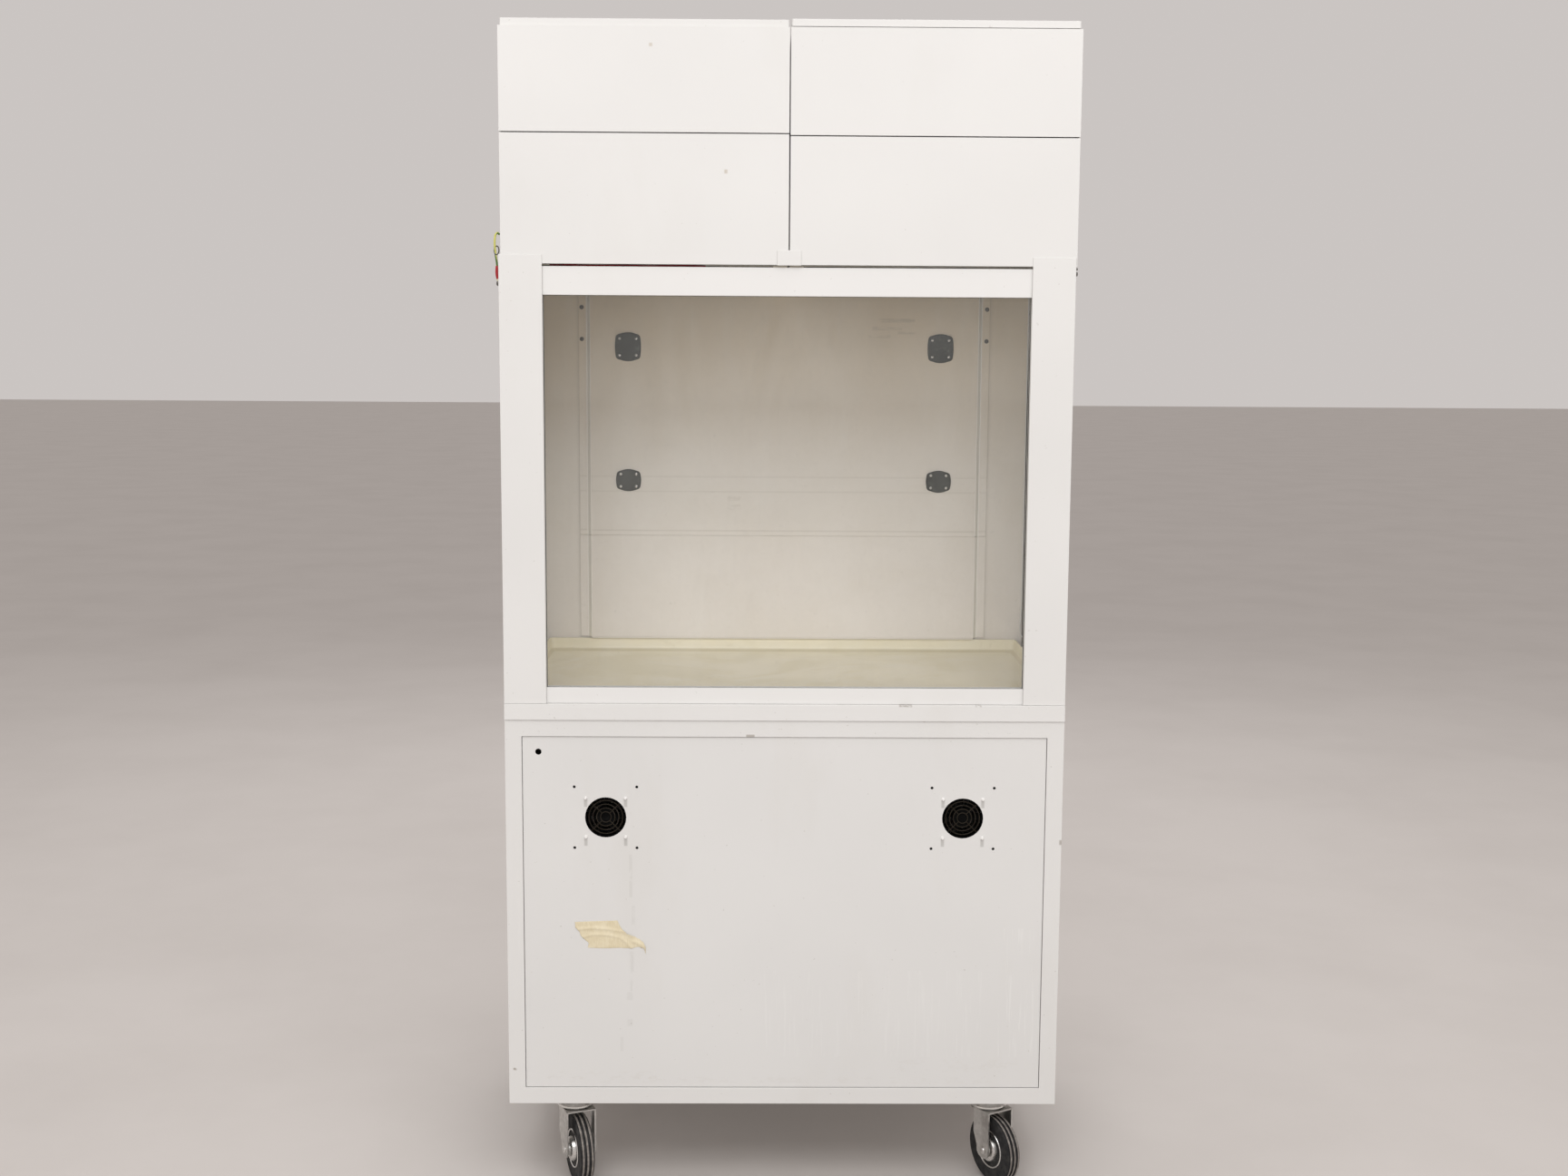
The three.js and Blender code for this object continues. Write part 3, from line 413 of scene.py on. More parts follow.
# a rust spot low on the left, and chipped edges over the panel
BASE_CHIPS = chipped((0.26, 0.22, 0.18), 300.0, 0.25, (-0.4900, 0.2297, 0.0005, 0.0005, 0.75),
                     (-0.4875, 0.2288, 0.0003, 0.0003, 0.4), (-0.0615, 0.8505, 0.006, 0.0010, 0.6),
                     (0.4985, 0.6570, 0.0012, 0.0030, 0.6))
MATERIALS = {
    "white": powder_coat("powder_white", WHITE, 0.30),
    "cover": powder_coat("powder_cover", WHITE, 0.30, COVER_CHIPS),
    "stile": powder_coat("powder_stile", WHITE, 0.30, stile_marks),
    "rail": powder_coat("powder_rail", (0.77, 0.761, 0.744), 0.22),
    "sill": powder_coat("powder_sill", WHITE, 0.35, SILL_CHIPS),
    "base": powder_coat("powder_base", (0.727, 0.718, 0.70), 0.40, BASE_CHIPS),
    "panel": powder_coat("powder_panel", (0.713, 0.705, 0.689), 0.40, base_panel_marks),
    # the fan studs: the panel's white paint made much lighter, as a painted highlight
    "peg": powder_coat("powder_peg_lit", (0.86, 0.85, 0.83), 0.2),
    # the liner: aged, with painted shade towards the top and a painted highlight on the baffles' folds
    "liner": powder_coat("liner_aged_and_painted_light", LINER, 0.3, liner_marks),
    # the back wall: the liner's colour made 3 % darker as painted shade
    "wall": powder_coat("wall_aged_and_painted_light", tuple(c * 0.97 for c in LINER), 0.3, wall_marks),
    "tray": tray_finish(),
    "glass": glass_finish(),
    "zinc": metal("zinc_plate", (0.62, 0.61, 0.59), 0.38),
    "bright": metal("bright_steel", (0.80, 0.79, 0.77), 0.24, 0.06),
    "dark_steel": metal("dark_steel", (0.16, 0.15, 0.14), 0.45),
    "spring": metal("spring_steel", (0.52, 0.53, 0.55), 0.3),
    "motor": metal("motor_casting", (0.60, 0.61, 0.63), 0.42),
    "fan": plastic("fan_black", (0.004, 0.004, 0.004), 0.85, 0.02, shine=0.06),
    "guard": plastic("guard_wire", (0.022, 0.017, 0.011), 0.6, 0.05, shine=0.2),
    "plate": plastic("blanking_grey", (0.055, 0.060, 0.056), 0.55, 0.40, dust_color=(0.20, 0.215, 0.205)),
    "seal": rubber_finish("black_seal", (0.015, 0.015, 0.015), 0.10),
    "tyre": rubber_finish("tyre_black", (0.012, 0.012, 0.013), 0.07),
    "rib": rubber_finish("tyre_rib", (0.17, 0.15, 0.137), 0.70),
    "red": plastic("red_sleeve", (0.42, 0.012, 0.02), 0.4, 0.08),
    "green": plastic("wire_green", (0.08, 0.17, 0.035), 0.4, 0.15),
    "yellow": plastic("wire_yellow", (0.68, 0.66, 0.16), 0.4, 0.15),
    "tape": tape_finish(),
    "media": media_finish(),
    # near-black plenum lining that stands in as painted shade in the gap
    "foam": plenum_shade_finish(),
    "floor": floor_finish(),
}


# ------ mesh helpers
def new_piece(name, mesh_builder, materials, body, smooth=30):
    """A piece from a bmesh; materials is one key, or several that faces point at by index."""
    mesh = bpy.data.meshes.new(name)
    bmesh.ops.recalc_face_normals(mesh_builder, faces=mesh_builder.faces)
    mesh_builder.to_mesh(mesh)
    mesh_builder.free()
    for key in (materials,) if isinstance(materials, str) else materials:
        mesh.materials.append(MATERIALS[key])
    piece = bpy.data.objects.new(name, mesh)
    bpy.context.scene.collection.objects.link(piece)
    mesh.polygons.foreach_set("use_smooth", [True] * len(mesh.polygons))
    mesh.set_sharp_from_angle(angle=math.radians(smooth))
    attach(piece, body)
    return piece


def merge_in(target, source, matrix=None, material=None):
    """Adds a copy of one bmesh to another."""
    mesh = bpy.data.meshes.new("part")
    source.to_mesh(mesh)
    if matrix:
        mesh.transform(matrix)
    start = len(target.faces)
    target.from_mesh(mesh)
    bpy.data.meshes.remove(mesh)
    if material is not None:
        target.faces.ensure_lookup_table()
        for face in target.faces[start:]:
            face.material_index = material


def skin(bm, near, far):
    """Faces between two rings of the same number of vertices."""
    turn = [*range(1, len(near)), 0]
    return [bm.faces.new((near[i], near[j], far[j], far[i])) for i, j in enumerate(turn)]


def circle(centre, u, v, count):
    """Points round a ring, which starts at u; u and v are its two radius vectors."""
    angles = (2 * math.pi * i / count for i in range(count))
    return [Vector(centre) + math.cos(a) * u + math.sin(a) * v for a in angles]


def turned(profile, segments=48, material_of=None):
    """A solid of revolution about Z from (radius, height) pairs."""
    bm = bmesh.new()
    rings = []
    for radius, height in profile:
        points = circle((0, 0, height), radius * X_AXIS, radius * Y_AXIS, segments if radius else 1)
        rings.append([bm.verts.new(p) for p in points])
    for step, (low, high) in enumerate(zip(rings, rings[1:])):
        for i in range(segments):
            j = (i + 1) % segments
            corners = [low[i % len(low)], low[j % len(low)], high[j % len(high)], high[i % len(high)]]
            corners = list(dict.fromkeys(corners))
            if len(corners) > 2:
                face = bm.faces.new(corners)
                face.material_index = material_of(step) if material_of else 0
    return bm


def rounded_box(low, high, radius=0.0006, segments=2):
    bm = bmesh.new()
    bmesh.ops.create_cube(bm, size=1)
    low, high = Vector(low), Vector(high)
    size = high - low
    bmesh.ops.scale(bm, vec=size, verts=bm.verts)
    bmesh.ops.translate(bm, vec=(low + high) / 2, verts=bm.verts)
    if radius:
        bmesh.ops.bevel(bm, geom=bm.edges[:], offset=radius, segments=segments, affect="EDGES", profile=0.5)
    return bm


def rounded_rectangle(half_x, half_y, corner, steps):
    """Points (x, y, turn) round a rectangle; turn counts the quarter turns from +X."""
    points = []
    for quadrant, (u, v) in enumerate(((1, 1), (-1, 1), (-1, -1), (1, -1))):
        for i in range(steps + 1):
            turn = quadrant + i / steps
            a = turn * math.pi / 2
            x, y = u * (half_x - corner) + corner * math.cos(a), v * (half_y - corner) + corner * math.sin(a)
            points.append((x, y, turn))
    return points


def prism(outline, axis, start, end, bevel=0.0):
    """An outline of two-number points pushed along an axis: 'y' takes (x, z) and 'z' takes (x, y)."""
    place = {"y": lambda u, v, w: (u, w, v), "z": lambda u, v, w: (u, v, w)}[axis]
    bm = bmesh.new()
    near, far = ([bm.verts.new(place(u, v, w)) for u, v in outline] for w in (start, end))
    bm.faces.new(near)
    bm.faces.new(far[::-1])
    skin(bm, near, far)
    bmesh.ops.recalc_face_normals(bm, faces=bm.faces)
    if bevel:
        edges = [e for e in bm.edges if len(e.link_faces) == 2 and e.calc_face_angle(0) > 0.6]
        bmesh.ops.bevel(bm, geom=edges, offset=bevel, segments=2, affect="EDGES", profile=0.5)
    return bm


def smooth_path(points, per_span=8):
    """A Catmull-Rom line through the points."""
    points = [Vector(p) for p in points]
    ends = [2 * points[0] - points[1], *points, 2 * points[-1] - points[-2]]
    line = []
    for a, b, c, d in zip(ends, ends[1:], ends[2:], ends[3:]):
        for i in range(per_span):
            t = i / per_span
            line.append(0.5 * (2 * b + (c - a) * t + (2 * a - 5 * b + 4 * c - d) * t * t
                               + (3 * b - a - 3 * c + d) * t ** 3))
    return [*line, points[-1]]


def swept(line, radius, sides=12, material_of=None, closed_loop=False):
    """A round tube along a line of points, with its ends capped or joined."""
    bm = bmesh.new()
    rings = []
    side = None
    count = len(line)
    for i, point in enumerate(line):
        before = line[i - 1] if i or closed_loop else point
        after = line[(i + 1) % count] if i < count - 1 or closed_loop else point
        along = (after - before).normalized()
        if side is None:
            side = along.orthogonal().normalized()
        side = (side - along * side.dot(along)).normalized()
        other = along.cross(side)
        size = radius(i / (count - 1)) if callable(radius) else radius
        rings.append([bm.verts.new(p) for p in circle(point, size * side, size * other, sides)])
    following = [*rings[1:], rings[0]] if closed_loop else rings[1:]
    for step, (near, far) in enumerate(zip(rings, following)):
        for k, face in enumerate(skin(bm, near, far)):
            face.material_index = material_of(step, k) if material_of else 0
    if not closed_loop:
        bm.faces.new(rings[0][::-1])
        bm.faces.new(rings[-1])
    return bm


def facing(direction, at):
    """Turns +Z to a direction and moves to a point."""
    turn = Vector(direction).to_track_quat("Z", "Y").to_matrix().to_4x4()
    return Matrix.Translation(at) @ turn


def cut_with(body, cutter):
    """One boolean cut, applied."""
    pieces = []
    for bm in (body, cutter):
        mesh = bpy.data.meshes.new("cut")
        bmesh.ops.recalc_face_normals(bm, faces=bm.faces)
        bm.to_mesh(mesh)
        bm.free()
        piece = bpy.data.objects.new("cut", mesh)
        bpy.context.scene.collection.objects.link(piece)
        pieces.append(piece)
    modifier = pieces[0].modifiers.new("cut", "BOOLEAN")
    modifier.object, modifier.solver = pieces[1], "EXACT"
    result = bmesh.new()
    graph = bpy.context.evaluated_depsgraph_get()
    result.from_mesh(pieces[0].evaluated_get(graph).to_mesh())
    for piece in pieces:
        bpy.data.objects.remove(piece)
    return result


def pan_head(radius, height):
    """A screw head with a cross cut in, standing on z = 0."""
    profile = [(0, -0.0004), (radius, -0.0004), (radius, height * 0.25)]
    profile += [(radius * math.cos(a), height * (0.25 + 0.75 * math.sin(a))) for a in (0.4, 0.8, 1.2)]
    head = turned([*profile, (0, height)], 24)
    width, length = radius * 0.2, radius * 0.62
    for x, y in ((length, width), (width, length)):
        head = cut_with(head, rounded_box((-x, -y, height * 0.35), (x, y, height * 2), 0))
    return head


def hex_head(radius, height):
    """A hexagon bolt head on a round washer, standing on z = 0."""
    outline = [p.xy for p in circle((0, 0, 0), radius * X_AXIS, radius * Y_AXIS, 6)]
    head = prism(outline, "z", 0.0, height, bevel=radius * 0.08)
    washer, thick = radius * 1.35, height * 0.22
    merge_in(head, turned([(0, 0), (washer, 0), (washer, thick), (0, thick)], 32))
    return head


def boxes(*spans, radius=0.0, segments=1):
    """Several rounded boxes, given as (low, high), in one bmesh."""
    whole = bmesh.new()
    for low, high in spans:
        merge_in(whole, rounded_box(low, high, radius, segments))
    return whole


def scatter(name, part, places, material):
    """Copies of one part at several (direction, point) places on the cabinet, as one piece."""
    whole = bmesh.new()
    for direction, at in places:
        merge_in(whole, part, facing(direction, at))
    part.free()
    return new_piece(name, whole, material, CABINET)


def centre_of(node):
    low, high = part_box(node)
    return (low + high) / 2


def grid(centre, u, v):
    """The four corners of a rectangle; u and v are its two half-width vectors."""
    return [centre + a * u + b * v for a, b in product((-1, 1), (-1, 1))]


def ring_guard(centre, u, v, radii, turns, wire, spoke, ends, back):
    """Concentric wire rings round a point, on four spokes that lie back by a vector."""
    guard = bmesh.new()
    for radius in radii:
        merge_in(guard, swept(circle(centre, radius * u, radius * v, turns), wire, 8, closed_loop=True))
    for i in range(4):
        a = math.pi / 4 + i * math.pi / 2
        outward = math.cos(a) * u + math.sin(a) * v
        merge_in(guard, swept([centre + back + r * outward for r in ends], spoke, 8))
    return guard


# ------ finishes on the CAD's own pieces
def soften(node, material, width):
    """Gives a CAD node its material, and rounded sheet edges from modifiers."""
    piece = NODES[node]
    piece.data.materials.clear()
    piece.data.materials.append(MATERIALS[material])
    weld = piece.modifiers.new("weld", "WELD")
    weld.merge_threshold = 0.00002
    flat = piece.modifiers.new("flat", "DECIMATE")
    flat.decimate_type, flat.angle_limit = "DISSOLVE", math.radians(0.5)
    if width:
        bevel = piece.modifiers.new("edge", "BEVEL")
        bevel.width, bevel.segments = width, 2
        bevel.limit_method, bevel.angle_limit = "ANGLE", math.radians(50)


def finish_cad_nodes():
    """The first name below that starts a node's name gives its material; the rest are plain white."""
    kinds = {
        "base_front_panel": "panel", "base_": "base", "front_stile_right": "stile", "sash_glass": "glass",
        "sash_": "rail", "sill": "sill", "filter_fascia": "cover", "fan_fascia": "cover", "baffle_": "liner",
        "back_wall": "wall", "service_plate": "plate", "castor_plate": "zinc", "balance_drum": "spring",
        "blower_motor": "motor", "carbon_filter": "media", "vent_fan": "fan", "exhaust_impeller": "fan",
    }
    narrow = {"glass": 0.0004, "fan": 0.0003, "spring": 0.0002, "media": 0.0}
    for node in NODES:
        material = next((kinds[start] for start in kinds if node.startswith(start)), "white")
        soften(node, material, narrow.get(material, 0.0006))


# ------ small parts on the base cabinet
PANEL_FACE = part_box("base_front_panel")[0].y


def fan_centre(side):
    """The middle of a vent fan, in the panel's face."""
    centre = centre_of(f"vent_fan_frame_{side}")
    return Vector((centre.x, PANEL_FACE, centre.z))


def add_fan_guard(side):
    """Concentric wire rings on four spokes, behind the panel's hole."""
    centre = fan_centre(side) + 0.0036 * Y_AXIS
    wire = 0.0009
    guard = ring_guard(centre, X_AXIS, Z_AXIS, (0.0095, 0.0165, 0.0235, 0.0305), 40, wire, wire,
                       (0.009, 0.0365), 0.001 * Y_AXIS)
    new_piece(f"fan_guard_{side}", guard, "guard", CABINET, smooth=60)


def add_fan_studs():
    """The eight painted studs that hold the vent fans, with rounded ends."""
    stud = turned([(0, -0.001), (0.0030, -0.001), (0.0030, 0.0004), (0.0023, 0.0008), (0.0023, 0.0046),
                   (0.0018, 0.0055), (0, 0.0058)], 20)
    half = FAN_PITCH / 2
    places = [(-Y_AXIS, at) for side in SIDES for at in grid(fan_centre(side), half * X_AXIS, half * Z_AXIS)]
    scatter("vent_fan_studs", stud, places, "peg")


# the torn tape on the panel, in millimetres as (x, z), and its folds, each a line, a width and a height
TAPE_OUTLINE = (
    (-378, 506), (-359, 507), (-301, 509), (-297, 500), (-292, 492), (-283, 484), (-272, 480), (-261, 474),
    (-254, 468), (-250, 460), (-250, 448), (-253, 457), (-263, 460), (-276, 457), (-300, 458), (-326, 457),
    (-355, 458), (-353, 467), (-359, 472), (-367, 480), (-370, 488), (-377, 496),
)
TAPE_FOLDS = (
    (((-376, 492), (-346, 495), (-319, 493), (-293, 489), (-275, 480)), 2.2, 1.5),
    (((-368, 477), (-345, 483), (-319, 482), (-296, 477), (-285, 468), (-276, 458)), 2.0, 1.4),
    (((-300, 508), (-290, 493), (-272, 480)), 1.6, 0.8), (((-272, 470), (-262, 466), (-252, 460)), 2.4, 1.6),
)


def distance_to(point, line):
    """From a flat point to a chain of points."""
    gaps = []
    for a, b in zip(line, line[1:]):
        away, step = point - Vector(a), Vector(b) - Vector(a)
        along = max(0.0, min(1.0, away.dot(step) / step.length_squared))
        gaps.append((away - along * step).length)
    return min(gaps)


def add_masking_tape():
    """A torn, creased strip of masking tape left on the panel; its right-hand end curls off."""
    outline = [Vector((x, z)) for x, z in TAPE_OUTLINE]
    bm = bmesh.new()
    bm.faces.new([bm.verts.new((p.x, 0, p.y)) for p in outline])
    for normal, low, high in ((X_AXIS, -380, -248), (Z_AXIS, 446, 510)):
        for at in range(low, high, 2):
            bmesh.ops.bisect_plane(bm, geom=bm.verts[:] + bm.edges[:] + bm.faces[:], plane_co=normal * at,
                                   plane_no=normal, dist=1e-4)
    edge = [*outline, outline[0]]
    for vert in bm.verts:
        flat = Vector((vert.co.x, vert.co.z))
        lift = 0.25
        for line, width, height in TAPE_FOLDS:
            lift += height * math.exp(-((distance_to(flat, line) / width) ** 2))
        inner = distance_to(flat, edge)
        ripple = 0.5 + 0.5 * noise.noise(Vector((flat.x * 0.09, flat.y * 0.16, 3)))
        lift += 0.5 * ripple * min(1.0, inner / 3)
        lift += 2.0 * max(0.0, (flat.x + 266) / 16) ** 2
        ragged = 0.7 * noise.noise(Vector((flat.x * 0.5, flat.y * 0.5, 8))) if inner < 0.01 else 0.0
        vert.co = Vector(((flat.x + ragged) * MM, PANEL_FACE - min(lift, 2.3) * MM, (flat.y + ragged) * MM))
    piece = new_piece("masking_tape", bm, "tape", CABINET, smooth=180)
    thick = piece.modifiers.new("thickness", "SOLIDIFY")
    thick.thickness, thick.offset = 0.00018, 0


def add_base_fixings():
    """Screws on the base's back panel, and the bolts of the castor plates."""
    low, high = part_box("base_back_panel")
    columns = (low.x + 0.02, -0.25, 0.0, 0.25, high.x - 0.02)
    places = [(Y_AXIS, (x, high.y - 0.0022, z)) for x in columns for z in (low.z + 0.02, high.z - 0.015)]
    scatter("base_back_screws", pan_head(0.004, 0.0022), places, "bright")
    bolts = []
    for castor in CASTORS:
        middle = centre_of(f"castor_plate_{castor}")
        middle.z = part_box(f"castor_plate_{castor}")[1].z - 0.0034
        bolts += [(-Z_AXIS, at) for at in grid(middle, 0.040 * X_AXIS, 0.029 * Y_AXIS)]
    scatter("castor_bolts", hex_head(0.0068, 0.0058), bolts, "zinc")


# ------ castors
AXLE_HEIGHT = 0.0625
WHEEL_RADIUS = 0.0625
TRAIL = 0.0225
CROWN_TOP = 0.1392


def castor_matrix(castor):
    """The castor's own frame: its kingpin at the origin, the axle towards -Y, and +X along the axle."""
    joints = {j["name"]: j for j in frame["joints"]}
    along = Vector(joints[f"castor_{castor}_roll"]["axis"]).normalized()
    pivot = Vector(joints[f"castor_{castor}_swivel"]["pos_m"])
    turn = Matrix((along, Z_AXIS.cross(along), Z_AXIS)).transposed().to_4x4()
    return Matrix.Translation((pivot.x, pivot.y, 0)) @ turn


def wheel_mesh():
    """Ribbed tyre, bright rim ring, dished hub disc and a bearing boss, turned about the axle.

    A point's letter is its face's material: tyre, rib, z for the bright rim, b for the zinc boss, seal.
    """
    profile = [(0.0047, 0.0232, "b"), (0.0105, 0.0232, "b"), (0.0112, 0.0222, "b"), (0.0112, 0.0198, "z"),
               (0.0190, 0.0192, "z"), (0.0214, 0.0180, "z"), (0.0224, 0.0150, "z"), (0.0230, 0.0112, "s"),
               (0.0320, 0.0112, "s"), (0.0328, 0.0126, "z"), (0.0338, 0.0136, "z"), (0.0350, 0.0136, "z"),
               (0.0357, 0.0126, "t"), (0.0420, 0.0123, "t"), (0.0500, 0.0124, "t"), (0.0550, 0.0130, "t"),
               (0.0582, 0.0133, "t"), (0.0600, 0.0124, "t")]
    tread = []
    for i in (1, 0, -1):
        middle, rib = i * 0.0085, 0.0017
        base, top = 0.0600, WHEEL_RADIUS - 0.00005
        tread += [(base, middle + rib + 0.0007, "t"), (top, middle + rib, "r"), (top, middle - rib, "t"),
                  (base, middle - rib - 0.0007, "t")]
    whole = [*profile, *tread, *[(r, -x, k) for r, x, k in reversed(profile)]]
    mirrored_start = len(profile) + len(tread)

    def material_of(step):
        owner = min(step + 1, len(whole) - 1) if step >= mirrored_start else step
        return "trzbs".index(whole[owner][2])

    wheel = turned([(r, x) for r, x, _ in [*whole, whole[0]]], 72, material_of)
    wheel.transform(Matrix.Rotation(math.pi / 2, 4, "Y"))
    return wheel


def fork_leg(side):
    """One pressed leg: flat beside the wheel, flared out to the rear, round about the axle."""
    end, top = 0.0160, CROWN_TOP - 0.0004
    toe = -TRAIL - end
    bm = bmesh.new()
    rows = []
    for step in range(33):
        z = AXLE_HEIGHT - end + (top - AXLE_HEIGHT + end) * (step / 32) ** 1.15
        below = AXLE_HEIGHT - z
        if below > 0:
            half = math.sqrt(max(0.0, end * end - min(below, end) ** 2))
            front, rear = -TRAIL - half, -TRAIL + half
        else:
            share = min(1.0, max(0.0, (z - AXLE_HEIGHT - 0.004) / 0.0265))
            front, rear = toe, -TRAIL + end + 0.0088 * share ** 1.2
        depths = [front + (rear - front) * i / 12 for i in range(13)]
        rows.append([bm.verts.new((side * (0.0250 + 0.19 * max(0.0, y + 0.017)), y, z)) for y in depths])
    for low, high in zip(rows, rows[1:]):
        for i in range(12):
            bm.faces.new((low[i], low[i + 1], high[i + 1], high[i]))
    bmesh.ops.remove_doubles(bm, verts=bm.verts, dist=1e-5)
    bm.normal_update()
    if sum(f.normal.x * side < 0 for f in bm.faces) > len(bm.faces) / 2:
        bmesh.ops.reverse_faces(bm, faces=bm.faces)
    bmesh.ops.solidify(bm, geom=bm.faces[:], thickness=-0.0027)
    bmesh.ops.recalc_face_normals(bm, faces=bm.faces)
    return bm


def crown_outline():
    half = [(0.0278, -TRAIL - 0.0160), (0.0278, -0.0170), (0.0314, 0.0024), (0.0308, 0.0120),
            (0.0240, 0.0240), (0.0120, 0.0310)]
    return [*half, *[(-x, y) for x, y in reversed(half)]]


def fork_mesh():
    """Pressed steel fork: a crown with a swivel cup on it, and two legs."""
    bm = prism(crown_outline(), "z", 0.1362, CROWN_TOP, bevel=0.0009)
    merge_in(bm, turned([(0.0067, 0.1380), (0.0300, 0.1380), (0.0300, 0.1402), (0.0292, 0.1409),
                         (0.0067, 0.1409), (0.0067, 0.1380)], 56))
    for side in (-1, 1):
        leg = fork_leg(side)
        merge_in(bm, leg)
        leg.free()
    return bm


def axle_mesh():
    """Axle bolt with a domed head against each leg."""
    bm = turned([(0, -0.0280), (0.0040, -0.0280), (0.0040, 0.0280), (0, 0.0280)], 24)
    bm.transform(Matrix.Translation((0, -TRAIL, AXLE_HEIGHT)) @ Matrix.Rotation(math.pi / 2, 4, "Y"))
    head = turned([(0, -0.0004), (0.0064, -0.0004), (0.0064, 0.0010), (0.0056, 0.0023), (0.0036, 0.0030),
                   (0, 0.0032)], 24)
    for side in (-1, 1):
        merge_in(bm, head, facing((side, 0, 0), (side * 0.0277, -TRAIL, AXLE_HEIGHT)))
    head.free()
    return bm


def castor_plate_mesh(castor):
    """The bolted plate with rounded corners, the bright race under it, and the kingpin's end."""
    low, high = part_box(f"castor_plate_{castor}")
    half = (high - low) / 2
    outline = [(x, y) for x, y, _ in rounded_rectangle(half.x, half.y, 0.008, 6)]
    bm = prism(outline, "z", high.z - 0.0035, high.z, bevel=0.0004)
    race = turned([(0, 0.1413), (0.0335, 0.1413), (0.0350, 0.1426), (0.0350, 0.1456), (0.0340, 0.1468),
                   (0.0298, 0.1580), (0.0290, 0.1606), (0, 0.1606)], 56, lambda step: int(step in (1, 2, 3)))
    merge_in(bm, race)
    merge_in(bm, turned([(0, 0.1311), (0.0050, 0.1311), (0.0059, 0.1320), (0.0059, 0.1420), (0, 0.1420)], 24))
    middle = (low + high) / 2
    bm.transform(Matrix.Translation((middle.x, middle.y, 0)))
    return bm


def add_castors():
    """Four castors as the CAD has them turned, each in place of its plain plate, fork and wheel."""
    for castor in CASTORS:
        placed = castor_matrix(castor)
        fork_body, wheel_body = f"castor_fork_{castor}", f"castor_wheel_{castor}"
        plate = new_piece(f"castor_plate_steel_{castor}", castor_plate_mesh(castor), ("zinc", "bright"),
                          CABINET)
        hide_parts(f"castor_plate_{castor}")
        fork = fork_mesh()
        fork.transform(placed)
        piece = new_piece(f"castor_fork_steel_{castor}", fork, "zinc", fork_body)
        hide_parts(f"castor_fork_{castor}")
        axle = axle_mesh()
        axle.transform(placed)
        new_piece(f"castor_axle_{castor}", axle, "bright", fork_body)
        wheel = wheel_mesh()
        wheel.transform(placed @ Matrix.Translation((0, -TRAIL, AXLE_HEIGHT)))
        materials = ("tyre", "rib", "bright", "zinc", "seal")
        tyre = new_piece(f"castor_tyre_{castor}", wheel, materials, wheel_body, smooth=40)
        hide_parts(f"castor_wheel_{castor}")


# ------ chamber
def add_plate_details(node):
    """Black rubber rim and four light screws on a blanking plate."""
    low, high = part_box(node)
    centre = centre_of(node)
    flat = sorted({(round(v.co.x, 5), round(v.co.z, 5)) for v in NODES[node].data.vertices})
    hull = sorted(flat, key=lambda p: math.atan2(p[1] - centre.z, p[0] - centre.x))
    rim = 0.0012
    outer = []
    for x, z in hull:
        away = Vector((x - centre.x, z - centre.z))
        away *= 1 + rim / away.length
        outer.append((centre.x + away.x, centre.z + away.y))
    seal = prism(outer, "y", high.y - rim, high.y + 0.0002)
    new_piece(f"{node}_seal", seal, "seal", CABINET)
    across, up = (0.0165, 0.0165) if "upper" in node else (0.0155, 0.0125)
    face = Vector((centre.x, low.y, centre.z))
    places = [(-Y_AXIS, at) for at in grid(face, across * X_AXIS, up * Z_AXIS)]
    scatter(f"{node}_screws", pan_head(0.0028, 0.0013), places, "bright")


def add_flange_screws():
    """Two dark screws in each upper flange."""
    x, y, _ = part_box("baffle_upper")[1] - Vector((0.0065, 0.0015, 0))
    places = [(-Y_AXIS, (side * x, y, z)) for side in SIDES.values() for z in (1.6190, 1.5560)]
    scatter("baffle_screws", pan_head(0.0043, 0.0016), places, "dark_steel")


def add_baffle_sealant():
    """Thin beads that close the seam between the two baffles and the gap over the tray."""
    low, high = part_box("baffle_lower")
    face, half = low.y, high.x - 0.024
    upper_foot, tray_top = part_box("baffle_upper")[0].z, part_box("spill_tray")[1].z
    seam = (-half, face + 0.0003, high.z + 0.0001), (half, face + 0.0014, upper_foot - 0.0001)
    foot = (-half, face + 0.0008, tray_top + 0.0003), (half, face + 0.0045, low.z - 0.0002)
    new_piece("baffle_sealant", boxes(seam, foot), "liner", CABINET)


def tray_ring(half, top, inset, z, corner):
    """One level of the tray: a rounded rectangle that dips to the low lip along the front."""
    lip, front = 0.930, 3
    points = []
    for x, y, turn in rounded_rectangle(half.x - inset, half.y - inset, corner, 8):
        forward = max(0.0, 1 - abs(turn - front))
        drop = forward * forward * (3 - 2 * forward)
        points.append(Vector((x, y, min(z, top - (top - lip) * drop))))
    return points


def add_spill_tray():
    """Moulded tray in one skin: rolled rim, drafted walls, rounded inside corners and a low front lip."""
    low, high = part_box("spill_tray")
    centre = centre_of("spill_tray").xy.to_3d()
    wall, floor = 0.005, 0.926
    steps = [(0.004, low.z, 0.008), (0.0012, low.z + 0.003, 0.009), (0.0006, high.z - 0.003, 0.009),
             (0.0010, high.z - 0.0008, 0.009), (0.0022, high.z, 0.009), (0.0040, high.z - 0.0006, 0.009),
             (wall - 0.0004, high.z - 0.0030, 0.009), (wall + 0.0006, floor + 0.010, 0.010),
             (wall + 0.003, floor + 0.003, 0.010), (wall + 0.009, floor, 0.010)]
    bm = bmesh.new()
    half = (high - low) / 2
    rings = [[bm.verts.new(centre + p) for p in tray_ring(half, high.z, *step)] for step in steps]
    for near, far in zip(rings, rings[1:]):
        skin(bm, near, far)
    bm.faces.new(rings[0][::-1])
    bm.faces.new(rings[-1])
    tray = new_piece("spill_tray_moulding", bm, "tray", CABINET, smooth=50)
    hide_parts("spill_tray")


